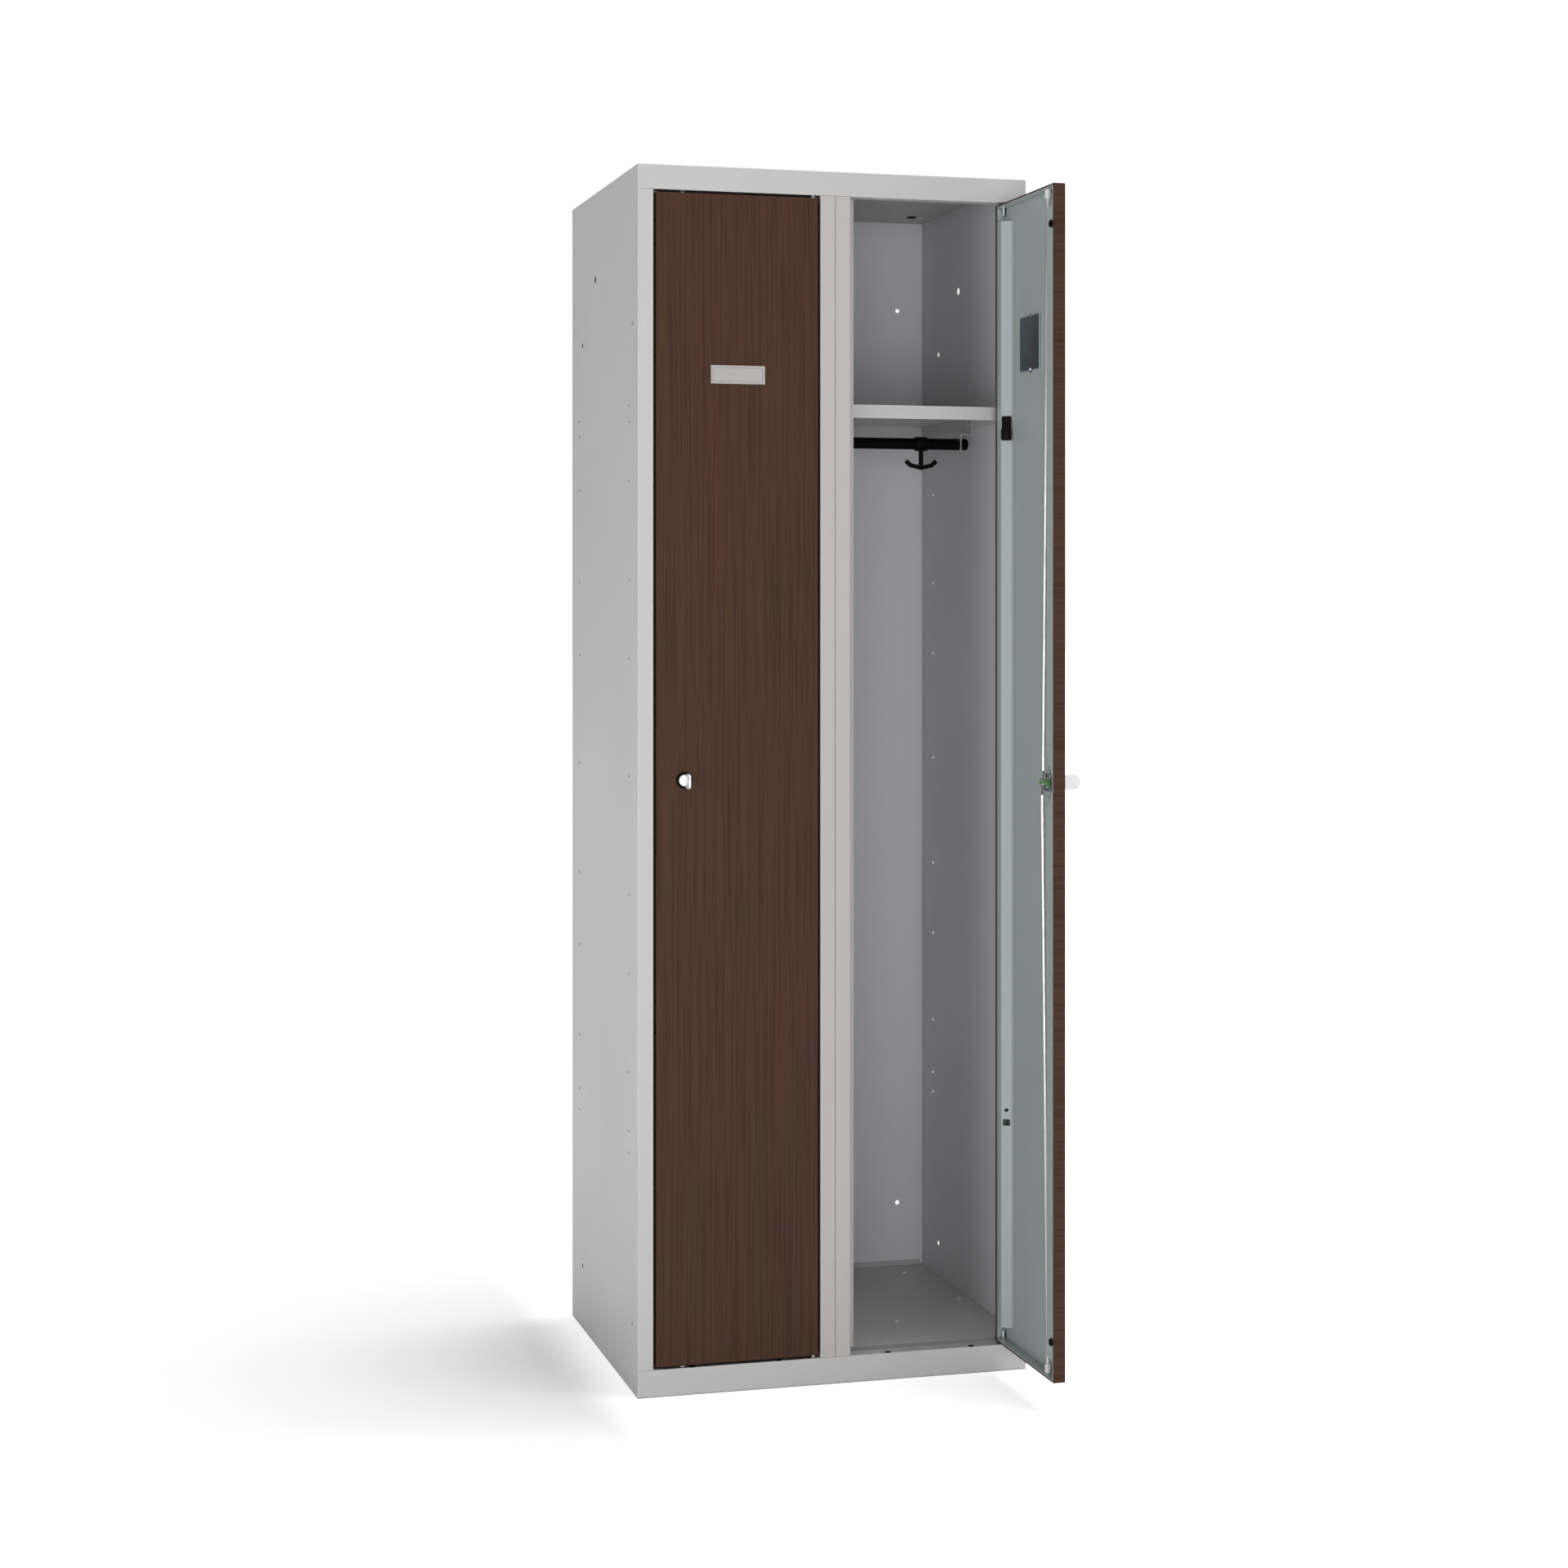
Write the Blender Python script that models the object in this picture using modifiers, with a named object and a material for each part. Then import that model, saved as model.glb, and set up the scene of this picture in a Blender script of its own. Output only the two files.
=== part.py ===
"""Two-door steel locker: folded sheet cabinet, two lift-on pan doors with rod locks, hat shelves and hanging rods.

Metres, +Z up, the doors face -Y. The origin is the middle of the base, on the floor.
The left door is shut and the right one stands open at 90 degrees.
"""

import math

import bmesh
import bpy
from mathutils import Matrix, Vector

# Cabinet
WIDTH = 0.600
DEPTH = 0.500
HEIGHT = 1.800
SHEET = 0.001
FIT = 0.0003
FOLD_RADIUS = 0.0012
OVERRUN = 0.010
STILE = 0.023
HEADER = 0.036
PLINTH = 0.040
FLOOR_STEP = 0.007
STOP_DEPTH = 0.022
STOP_LIP = 0.011
REAR_FLANGE = 0.015
BASE_FLANGE = 0.018

# Holes that the wall, rear, roof and floor sheets share between both bays
COLUMN_DEPTHS = (0.063, 0.440)
COLUMN_SHARES = (
    0.1925,
    0.2106,
    0.2589,
    0.3394,
    0.4044,
    0.5017,
    0.5983,
    0.6628,
    0.7444,
    0.7928,
    0.8061,
)
COLUMN_RADIUS = 0.0026
BOLT_DEPTHS = (0.040, 0.412)
BOLT_FROM_FLOOR = 0.100
BOLT_FROM_TOP = 0.229
BOLT_RADIUS = 0.004
PORT_DEPTH = 0.311
PORT_FROM_TOP = 0.135
PORT_RADIUS = 0.006
REAR_HOLE_FROM_WALL = 0.045
REAR_HOLE_FROM_FLOOR = 0.152
REAR_HOLE_FROM_TOP = 0.149
REAR_HOLE_RADIUS = 0.0035
PLUG_HOLE_FROM_WALL = 0.044
PLUG_HOLE_DEPTH = 0.423
PLUG_HOLE_RADIUS = 0.0055
VENT_FROM_WALL = 0.025
VENT_DEPTH = 0.434
VENT_RADIUS = 0.004
FLOOR_HOLE_SHARES = (-0.03, 0.327, 0.437)
FLOOR_HOLE_DEPTHS = (0.143, 0.439, 0.251)
FLOOR_HOLE_RADIUS = 0.002
DRAIN_SHARES = (-0.39, -0.22, 0.22)
DRAIN_DEPTH = 0.005
DRAIN_LENGTH = 0.009
DRAIN_WIDTH = 0.003

# Channel under the floor that carries both middle walls
CHANNEL_WIDTH = 0.040
CHANNEL_FLANGE = 0.014

# Shelf, hanging rod and coat hook
SHELF_FROM_TOP = 0.342
SHELF_LIP = 0.020
SHELF_SETBACK = 0.040
ROD_UNDER_SHELF = 0.045
ROD_RADIUS = 0.009
ROD_END_GAP = 0.006
ROD_END_ROUND = 0.003
BRACKET_SHEET = 0.0015
BRACKET_WIDTH = 0.026
BRACKET_REACH = 0.018
BRACKET_SADDLE = 0.0035
BRACKET_PLATE = 0.013
HOOK_SHARE = 0.2183
HOOK_SLEEVE_WALL = 0.002
HOOK_SLEEVE_LENGTH = 0.020
HOOK_WIRE = 0.0037
HOOK_DROP = 0.038
HOOK_REACH = 0.025
HOOK_KINK_SHARE = 0.70
HOOK_KINK_RISE = 0.004
HOOK_TIP_RISE = 0.0105
HOOK_ROOT_SHARE = 0.90
PLUG_HEAD_RADIUS = 0.0085
PLUG_HEAD = 0.0025

# Doors
DOOR_GAP = 0.004
DOOR_THICKNESS = 0.0185
DOOR_SHEET = 0.002
DOOR_ROUND = 0.0008
PIN_INSET = 0.006
PIN_DEPTH = 0.007
PIN_RADIUS = 0.0024
PIN_COLLAR_RADIUS = 0.0038
PIN_COLLAR = 0.002
PIN_IN_DOOR = 0.015
PIN_IN_FRAME = 0.003
PIN_TAPER = 0.0008
LINER_LIP = 0.0247
LINER_END_CUT = 0.032
LOCK_RELIEF_RADIUS = 0.0375
BOX_END = 0.026
BOX_FLANGE_END = 0.021
BOX_FOOT_START = 0.030
BOX_FOOT = 0.009
WALL_HOLE_HEIGHT = 0.397
WALL_HOLE_RADIUS = 0.0031
WALL_SLOT_HEIGHT = 0.3785
WALL_SLOT_SIDE = 0.0100
CARD_WIDTH = 0.082
CARD_HEIGHT = 0.027
CARD_THICKNESS = 0.0022
CARD_RIM = 0.003
CARD_POCKET = 0.0012
CARD_FROM_TOP = 0.305
MIRROR_SIDE = 0.080
MIRROR_THICKNESS = 0.003
MIRROR_ROUND_SHARE = 1 / 6
MIRROR_START = 0.070
MIRROR_FROM_TOP = 0.257
BUFFER_RADIUS = 0.0055
BUFFER_FROM_EDGE = 0.0057
BUFFER_FROM_END = 0.058
TOWEL_HOOK_FROM_TOP = 0.360
TOWEL_HOOK_BACK = 0.036
TOWEL_HOOK_PLATE = 0.003
TOWEL_HOOK_WIDTH = 0.014
TOWEL_HOOK_TAB = 0.016
TOWEL_HOOK_REACH = 0.012

# Lock: a wing knob turns a crank, whose two pins drive an upper and a lower rod
LOCK_FROM_EDGE = 0.042
LOCK_HEIGHT = 0.900
BARREL_RADIUS = 0.0085
BARREL_FRONT = 0.005
ROSETTE_RADIUS = 0.012
ROSETTE_THICKNESS = 0.003
KEYWAY_WIDTH = 0.0012
KEYWAY_HEIGHT = 0.009
KEYWAY_DEPTH = 0.003
WING_THICKNESS = 0.0026
WING_OFFSET = 0.0048
WING_REACH = 0.011
WING_ROOT = 0.012
WING_TIP = 0.024
CASE_DEPTH = 0.0092
CASE_WIDTH = 0.026
CASE_HEIGHT = 0.024
CASE_ARM_END = 0.0125
CASE_ARM_HEIGHT = 0.0155
CASE_TAB = 0.0045
HUB_RADIUS = 0.007
HUB_DEPTH = 0.0020
CRANK = 0.011
CRANK_BAR = 0.0012
CRANK_PIN_RADIUS = 0.0015
YOKE_THICKNESS = 0.0012
YOKE_RIM = 0.0015
YOKE_SLACK = 0.00025
CRANK_LOST_SHARE = 0.2105
ROD_TIP_REST = 0.002
LOCK_ROD_RADIUS = 0.0025
LOCK_ROD_END_DEPTH = 0.0106
LOCK_ROD_NECK = 0.012
GUIDE_RADIUS = 0.0045
GUIDE_LENGTH = 0.013
ROD_HOLE_RADIUS = 0.0038

# Facets of round pieces
FEW_SIDES = 8
PIN_SIDES = 12
HOLE_SIDES = 6
SIDES = 16
MANY_SIDES = 24
FOLD_SEGMENTS = 2
SMALL_ROUND_SHARE = 1 / 3
MERGE = 1e-6
POINT_WEIGHT = 1.0

# Places worked out from the sizes above
FRONT = -DEPTH / 2
REAR = DEPTH / 2
BAY = WIDTH / 2
COLUMN_HEIGHTS = tuple(HEIGHT * share for share in COLUMN_SHARES)
BOLT_HEIGHTS = (BOLT_FROM_FLOOR, HEIGHT - BOLT_FROM_TOP)
PORT_HEIGHT = HEIGHT - PORT_FROM_TOP
REAR_HOLE_HEIGHTS = (REAR_HOLE_FROM_FLOOR, HEIGHT - REAR_HOLE_FROM_TOP)
REAR_HOLE_OFFSET = BAY / 2 - REAR_HOLE_FROM_WALL
PLUG_HOLE_OFFSET = BAY / 2 - PLUG_HOLE_FROM_WALL
VENT_OFFSET = BAY / 2 - VENT_FROM_WALL
FLOOR_HOLE_OFFSETS = tuple(BAY * share for share in FLOOR_HOLE_SHARES)
DRAIN_OFFSETS = tuple(BAY * share for share in DRAIN_SHARES)
SHELF_TOP = HEIGHT - SHELF_FROM_TOP
ROD_HEIGHT = SHELF_TOP - ROD_UNDER_SHELF
HOOK_OFFSET = BAY * HOOK_SHARE
CARD_LEVEL = HEIGHT - CARD_FROM_TOP
MIRROR_LEVEL = HEIGHT - MIRROR_FROM_TOP
TOWEL_HOOK_TOP = HEIGHT - TOWEL_HOOK_FROM_TOP
REAR_SHEET_BACK = REAR - SHEET - FIT
REAR_SHEET_FRONT = REAR_SHEET_BACK - SHEET
DIVIDER_REAR = REAR_SHEET_FRONT - FIT
HEADER_BOTTOM = HEIGHT - HEADER
FLOOR = PLINTH + FLOOR_STEP
WALL_TOP = HEIGHT - SHEET - FIT
OPENING = BAY / 2 - STILE
DOOR_TOP = HEADER_BOTTOM - DOOR_GAP
DOOR_BOTTOM = PLINTH + DOOR_GAP
DOOR_WIDTH = 2 * (OPENING - DOOR_GAP)
HINGE_OFFSET = OPENING - DOOR_GAP - PIN_INSET
DOOR_FACE = -PIN_DEPTH
DOOR_BACK = DOOR_THICKNESS - PIN_DEPTH
DOOR_FREE_EDGE = PIN_INSET - DOOR_WIDTH
LOCK_FROM_HINGE = DOOR_WIDTH - PIN_INSET - LOCK_FROM_EDGE
PAN_FRONT = DOOR_FACE + DOOR_SHEET
LINER_FRONT = PAN_FRONT + FIT
LINER_BACK = LINER_FRONT + SHEET
LINER_HINGE_EDGE = PIN_INSET - DOOR_SHEET - FIT
LINER_FREE_EDGE = DOOR_FREE_EDGE + DOOR_SHEET + FIT
SHUT, OPEN = 0, math.pi / 2
ROD_OFFSET = HINGE_OFFSET - LOCK_FROM_HINGE

# Colour, roughness and, on metal, how metallic it is
GREY_PAINT = ((0.56, 0.56, 0.55), 0.45)
INNER_PAINT = ((0.26, 0.28, 0.27), 0.42)
WOOD_LOOK = ((0.070, 0.038, 0.027), 0.5)
BLACK_PLASTIC = ((0.01, 0.01, 0.01), 0.5)
BLACK_ENAMEL = ((0.012, 0.012, 0.013), 0.35)
RUBBER = ((0.012, 0.012, 0.012), 0.7)
CARD_GREY = ((0.50, 0.50, 0.49), 0.4)
WHITE_PLASTIC = ((0.72, 0.73, 0.73), 0.4)
GREEN_PLASTIC = ((0.05, 0.30, 0.04), 0.4)
STEEL = ((0.62, 0.63, 0.62), 0.35, 0.6)
BRIGHT_STEEL = ((0.75, 0.75, 0.75), 0.35, 0.5)
ROD_STEEL = ((0.72, 0.73, 0.72), 0.3, 0.8)
CASE_STEEL = ((0.33, 0.35, 0.34), 0.4, 0.5)
NICKEL = ((0.80, 0.80, 0.80), 0.2, 1.0)
MIRROR_GLASS = ((0.8, 0.85, 0.86), 0.03, 1.0)

for old in list(bpy.data.objects):
    bpy.data.objects.remove(old, do_unlink=True)

parts = bpy.data.collections.new("two_door_locker")
cutters = bpy.data.collections.new("cutters")
bpy.context.scene.collection.children.link(parts)
bpy.context.scene.collection.children.link(cutters)
cutters.hide_render = True


def material(name, colour, roughness, metallic=0.0):
    made = bpy.data.materials.new(name)
    made.use_nodes = True
    shader = made.node_tree.nodes["Principled BSDF"]
    shader.inputs["Base Color"].default_value = (*colour, 1)
    shader.inputs["Roughness"].default_value = roughness
    shader.inputs["Metallic"].default_value = metallic
    return made


def empty(name, place, turn=0, parent=None):
    """An axis or a bay centre that pieces hang from."""
    made = bpy.data.objects.new(name, None)
    made.location = place
    made.rotation_euler.z = turn
    made.parent = parent
    parts.objects.link(made)
    return made


def piece(name, mesh, look, place=(0, 0, 0), parent=None):
    """An object of the locker with its own material."""
    made = bpy.data.objects.new(name, mesh)
    made.location = place
    made.parent = parent
    mesh.materials.append(material(name, *look))
    parts.objects.link(made)
    return made


def mesh_from(bm, name):
    bmesh.ops.recalc_face_normals(bm, faces=bm.faces)
    mesh = bpy.data.meshes.new(name)
    bm.to_mesh(mesh)
    bm.free()
    return mesh


def add_box(bm, low, high):
    low, high = Vector(map(min, low, high)), Vector(map(max, low, high))
    made = bmesh.ops.create_cube(bm, size=1)
    size = high - low
    bmesh.ops.scale(bm, vec=size, verts=made["verts"])
    bmesh.ops.translate(bm, vec=(low + high) / 2, verts=made["verts"])
    return made["verts"]


def add_round(bm, start, end, radius, sides, end_radius=None):
    """A cylinder or a cone between two points."""
    start, end = Vector(start), Vector(end)
    turn = (end - start).to_track_quat("Z", "Y").to_matrix().to_4x4()
    made = bmesh.ops.create_cone(
        bm,
        cap_ends=True,
        segments=sides,
        radius1=radius,
        radius2=radius if end_radius is None else end_radius,
        depth=(end - start).length,
        matrix=Matrix.Translation((start + end) / 2) @ turn,
    )
    return made["verts"]


def cutter(name, parent, place=(0, 0, 0)):
    """An empty cutting mesh, to be filled by cut_with."""
    made = bpy.data.objects.new(name, bpy.data.meshes.new(name))
    made.location = place
    made.parent = parent
    made.hide_render = True
    made.display_type = "WIRE"
    cutters.objects.link(made)
    return made


def boolean(target, other, operation="DIFFERENCE"):
    step = target.modifiers.new(other.name, "BOOLEAN")
    step.operation = operation
    step.object = other
    step.solver = "EXACT"


def cut(target, boxes=(), rounds=()):
    """Cuts boxes (low, high) and rounds (start, end, radius, sides) out of a piece, in its own frame.

    The shapes of one call lie clear of each other.
    """
    bm = bmesh.new()
    for low, high in boxes:
        add_box(bm, low, high)
    for start, end, radius, sides in rounds:
        add_round(bm, start, end, radius, sides)
    tool = cutter(target.name + "_cutter", target.parent, target.location)
    tool.data = mesh_from(bm, tool.name)
    boolean(target, tool)


def join(target, bm):
    """Joins closed shapes to a piece, in its own frame."""
    other = cutter(target.name + "_joined", target.parent, target.location)
    other.data = mesh_from(bm, other.name)
    boolean(target, other, "UNION")


def bevel(target, width, segments=FOLD_SEGMENTS):
    step = target.modifiers.new("rounded_edges", "BEVEL")
    step.width = width
    step.segments = segments
    step.limit_method = "ANGLE"


def thicken(target, thickness):
    step = target.modifiers.new("sheet", "SOLIDIFY")
    step.thickness = thickness
    step.offset = -1
    step.use_even_offset = True


def folded_sheet(name, path, along, look, thickness=SHEET, place=(0, 0, 0), parent=None, fold=FOLD_RADIUS):
    """A folded strip: `path` is its outer face in section, run through the vector `along`."""
    bm = bmesh.new()
    corners = [bm.verts.new(point) for point in path]
    edges = [bm.edges.new(pair) for pair in zip(corners, corners[1:])]
    run = bmesh.ops.extrude_edge_only(bm, edges=edges)
    moved = [item for item in run["geom"] if isinstance(item, bmesh.types.BMVert)]
    bmesh.ops.translate(bm, vec=along, verts=moved)
    outward = (Vector(path[1]) - Vector(path[0])).cross(Vector(along))
    bm.normal_update()
    first = next(face for face in bm.faces if corners[0] in face.verts and corners[1] in face.verts)
    if first.normal.dot(outward) < 0:
        bmesh.ops.reverse_faces(bm, faces=bm.faces)
    mesh = bpy.data.meshes.new(name)
    bm.to_mesh(mesh)
    bm.free()
    made = piece(name, mesh, look, place, parent)
    bevel(made, fold)
    thicken(made, thickness)
    return made


def box_piece(name, low, high, look, parent, rounding=0.0):
    bm = bmesh.new()
    add_box(bm, low, high)
    made = piece(name, mesh_from(bm, name), look, parent=parent)
    if rounding:
        bevel(made, rounding)
    return made


def open_pan(name, low, high, open_side, look, thickness, parent, rounding):
    """A pan pressed from one sheet: a box without the face that looks along `open_side`."""
    bm = bmesh.new()
    add_box(bm, low, high)
    bm.normal_update()
    gone = [face for face in bm.faces if face.normal.dot(Vector(open_side)) > 0]
    bmesh.ops.delete(bm, geom=gone, context="FACES_ONLY")
    mesh = bpy.data.meshes.new(name)
    bm.to_mesh(mesh)
    bm.free()
    made = piece(name, mesh, look, parent=parent)
    thicken(made, thickness)
    bevel(made, rounding)
    return made


def turned(name, outline, look, place, parent, axis="Z", sides=SIDES):
    """A turned piece: `outline` is (radius, height) down the outer side, spun about an axis."""
    mesh = bpy.data.meshes.new(name)
    bm = bmesh.new()
    corners = [bm.verts.new((radius, 0, height)) for radius, height in outline]
    closed = outline[0][0] > 0
    for pair in zip(corners, corners[1:] + corners[:1] if closed else corners[1:]):
        bm.edges.new(pair)
    bm.to_mesh(mesh)
    bm.free()
    made = piece(name, mesh, look, place, parent)
    spin = made.modifiers.new("turned", "SCREW")
    spin.axis = "Z"
    spin.steps = sides
    spin.render_steps = sides
    spin.use_merge_vertices = True
    spin.merge_threshold = MERGE
    if axis == "X":
        made.rotation_euler.y = math.pi / 2
    if axis == "Y":
        made.rotation_euler.x = math.pi / 2
    return made


def smooth(target):
    target.data.shade_smooth()
    target.data.set_sharp_from_angle(angle=math.radians(35))


def wire_mesh(name, points, radius, parent, resolution=2):
    """A bent wire as a mesh, made from a bevelled curve with filled caps."""
    curve = bpy.data.curves.new(name, "CURVE")
    curve.dimensions = "3D"
    curve.bevel_depth = radius
    curve.bevel_resolution = resolution
    curve.use_fill_caps = True
    line = curve.splines.new("POLY")
    line.points.add(len(points) - 1)
    for knot, point in zip(line.points, points):
        knot.co = (*point, POINT_WEIGHT)
    guide = bpy.data.objects.new(name, curve)
    guide.parent = parent
    cutters.objects.link(guide)
    graph = bpy.context.evaluated_depsgraph_get()
    mesh = bpy.data.meshes.new_from_object(guide.evaluated_get(graph))
    bm = bmesh.new()
    bm.from_mesh(mesh)
    bmesh.ops.remove_doubles(bm, verts=bm.verts, dist=MERGE)
    bmesh.ops.recalc_face_normals(bm, faces=bm.faces)
    bm.to_mesh(mesh)
    bm.free()
    bpy.data.objects.remove(guide, do_unlink=True)
    return mesh


def wall(name, outer, facing, middle, parent):
    """A side or a middle wall: rear flange, side, front stile, its return and the door's stop lip.

    `outer` is the wall's outer face in X, and `facing` is the side on which its bay lies.
    """
    rear = DIVIDER_REAR if middle else REAR
    path = [
        (REAR_FLANGE, rear),
        (0, rear),
        (0, FRONT),
        (STILE, FRONT),
        (STILE, FRONT + STOP_DEPTH),
        (STILE + STOP_LIP, FRONT + STOP_DEPTH),
    ]
    base = PLINTH + FIT if middle else 0
    corners = [(outer + facing * x, y, base) for x, y in path]
    if facing < 0:
        corners.reverse()
    made = folded_sheet(name, corners, (0, 0, WALL_TOP - base), GREY_PAINT, parent=parent)

    def across(start, end, y0, y1, z0, z1):
        return ((outer + facing * start, y0, z0), (outer + facing * end, y1, z1))

    inside = -OVERRUN if middle else SHEET + FIT / 2
    far = STILE + STOP_LIP + OVERRUN
    front_skin = FRONT + SHEET + FIT
    lip_front = FRONT + STOP_DEPTH - FOLD_RADIUS - FIT
    behind_lip = FRONT + STOP_DEPTH + SHEET + FIT
    boxes = [
        across(inside, far, FRONT - OVERRUN, behind_lip, HEADER_BOTTOM - FIT, HEIGHT),
        across(inside, far, lip_front, REAR_SHEET_BACK, -OVERRUN, FLOOR + FIT),
    ]
    if not middle:
        cut(
            made,
            [
                across(-OVERRUN, far, FRONT - OVERRUN, front_skin, HEADER_BOTTOM - FIT, HEIGHT),
                across(-OVERRUN, far, FRONT - OVERRUN, front_skin, -OVERRUN, PLINTH + FIT),
                across(-OVERRUN, far, REAR_SHEET_BACK, REAR + OVERRUN, HEIGHT - REAR_FLANGE - FIT, HEIGHT),
            ],
        )
        cut(made, [across(inside, far, FRONT - OVERRUN, lip_front + FIT, -OVERRUN, PLINTH + FIT)])
    holes = [(FRONT + PORT_DEPTH, PORT_HEIGHT, PORT_RADIUS, FEW_SIDES)]
    holes += [(FRONT + d, z, BOLT_RADIUS, FEW_SIDES) for d in BOLT_DEPTHS for z in BOLT_HEIGHTS]
    holes += [(FRONT + d, z, COLUMN_RADIUS, HOLE_SIDES) for d in COLUMN_DEPTHS for z in COLUMN_HEIGHTS]
    rounds = [
        ((outer - facing * SHEET, y, z), (outer + 2 * facing * SHEET, y, z), radius, sides)
        for y, z, radius, sides in holes
    ]
    cut(made, boxes, rounds)
    return made


def bay_points(offset):
    """The same place in the left and in the right bay."""
    return (offset - BAY / 2, offset + BAY / 2)


def upright_hole(x, y, z, radius, sides):
    return ((x, y, z - OVERRUN / 2), (x, y, z + OVERRUN / 2), radius, sides)


def frame_holes(level):
    """The hinge pin's and the lock rod's hole for each door, in the header or the plinth."""
    made = []
    for x in bay_points(HINGE_OFFSET):
        made.append(upright_hole(x, FRONT + PIN_DEPTH, level, PIN_RADIUS + FIT, SIDES))
    for x in bay_points(ROD_OFFSET):
        made.append(upright_hole(x, FRONT + LOCK_ROD_END_DEPTH, level, ROD_HOLE_RADIUS, SIDES))
    return made


def end_trims(y0, y1, z0, z1):
    """Boxes that shorten a cross sheet's ends, so that it fits between the side walls."""
    reach = BAY - SHEET - FIT
    return [
        ((-BAY - OVERRUN, y0, z0), (-reach, y1, z1)),
        ((reach, y0, z0), (BAY + OVERRUN, y1, z1)),
    ]


def roof():
    path = [
        (FRONT + STOP_DEPTH, HEADER_BOTTOM),
        (FRONT, HEADER_BOTTOM),
        (FRONT, HEIGHT),
        (REAR, HEIGHT),
        (REAR, HEIGHT - REAR_FLANGE),
    ]
    corners = [(BAY, y, z) for y, z in path]
    made = folded_sheet("top_panel", corners, (-WIDTH, 0, 0), GREY_PAINT)
    trims = end_trims(
        FRONT + SHEET + FIT / 2,
        FRONT + STOP_DEPTH + OVERRUN,
        HEADER_BOTTOM - OVERRUN,
        WALL_TOP,
    )
    rounds = frame_holes(HEADER_BOTTOM)
    for x in bay_points(PLUG_HOLE_OFFSET):
        rounds.append(upright_hole(x, FRONT + PLUG_HOLE_DEPTH, HEIGHT, PLUG_HOLE_RADIUS, SIDES))
    for x in bay_points(VENT_OFFSET):
        rounds.append(upright_hole(x, FRONT + VENT_DEPTH, HEIGHT, VENT_RADIUS, FEW_SIDES))
    cut(made, trims, rounds)


def floor():
    path = [
        (FRONT + BASE_FLANGE, 0),
        (FRONT, 0),
        (FRONT, PLINTH),
        (FRONT + STOP_DEPTH, PLINTH),
        (FRONT + STOP_DEPTH, FLOOR),
        (REAR_SHEET_BACK, FLOOR),
        (REAR_SHEET_BACK, 0),
        (REAR_SHEET_BACK - BASE_FLANGE, 0),
    ]
    corners = [(BAY, y, z) for y, z in path]
    made = folded_sheet("bottom_panel", corners, (-WIDTH, 0, 0), GREY_PAINT)
    boxes = end_trims(FRONT + SHEET + FIT / 2, REAR, -OVERRUN, FLOOR + OVERRUN)
    for offset in DRAIN_OFFSETS:
        for x in bay_points(offset):
            low = (x - DRAIN_LENGTH / 2, FRONT + DRAIN_DEPTH - DRAIN_WIDTH / 2, PLINTH - 2 * SHEET)
            boxes.append((low, (x + DRAIN_LENGTH / 2, low[1] + DRAIN_WIDTH, PLINTH + SHEET)))
    rounds = frame_holes(PLINTH)
    for offset, depth in zip(FLOOR_HOLE_OFFSETS, FLOOR_HOLE_DEPTHS):
        for x in bay_points(offset):
            rounds.append(upright_hole(x, FRONT + depth, FLOOR, FLOOR_HOLE_RADIUS, HOLE_SIDES))
    cut(made, boxes, rounds)


def floor_channel():
    """A hat channel on the ground under the middle walls, from the front flange to the rear one."""
    top = FLOOR - SHEET - FIT - SHEET
    half = CHANNEL_WIDTH / 2
    start = REAR_SHEET_BACK - BASE_FLANGE - FIT
    end = FRONT + BASE_FLANGE + FIT
    front_end = FRONT + STOP_DEPTH + SHEET + FIT
    path = [
        (-half - CHANNEL_FLANGE, top),
        (-half, top),
        (-half, 0),
        (half, 0),
        (half, top),
        (half + CHANNEL_FLANGE, top),
    ]
    corners = [(x, start, z) for x, z in path]
    made = folded_sheet("floor_channel", corners, (0, end - start, 0), GREY_PAINT)
    step = ((-BAY, end - OVERRUN, PLINTH - SHEET - FIT), (BAY, front_end, HEIGHT))
    cut(made, [step])


def rear_panel():
    reach = BAY - SHEET - FIT
    bm = bmesh.new()
    add_box(bm, (-reach, REAR_SHEET_FRONT, FLOOR + FIT), (reach, REAR_SHEET_BACK, WALL_TOP))
    made = piece("rear_panel", mesh_from(bm, "rear_panel"), GREY_PAINT)
    rounds = []
    for z in REAR_HOLE_HEIGHTS:
        for x in bay_points(REAR_HOLE_OFFSET):
            rounds.append(((x, DIVIDER_REAR, z), (x, REAR, z), REAR_HOLE_RADIUS, FEW_SIDES))
    cut(made, rounds=rounds)


def shelf(side, bay):
    half = BAY / 2 - SHEET - 2 * FIT
    low = (-half, FRONT + SHELF_SETBACK, SHELF_TOP - SHELF_LIP)
    high = (half, DIVIDER_REAR - SHEET - FIT, SHELF_TOP)
    open_pan(side + "_shelf", low, high, (0, 0, -1), GREY_PAINT, SHEET, bay, FOLD_RADIUS)


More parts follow.
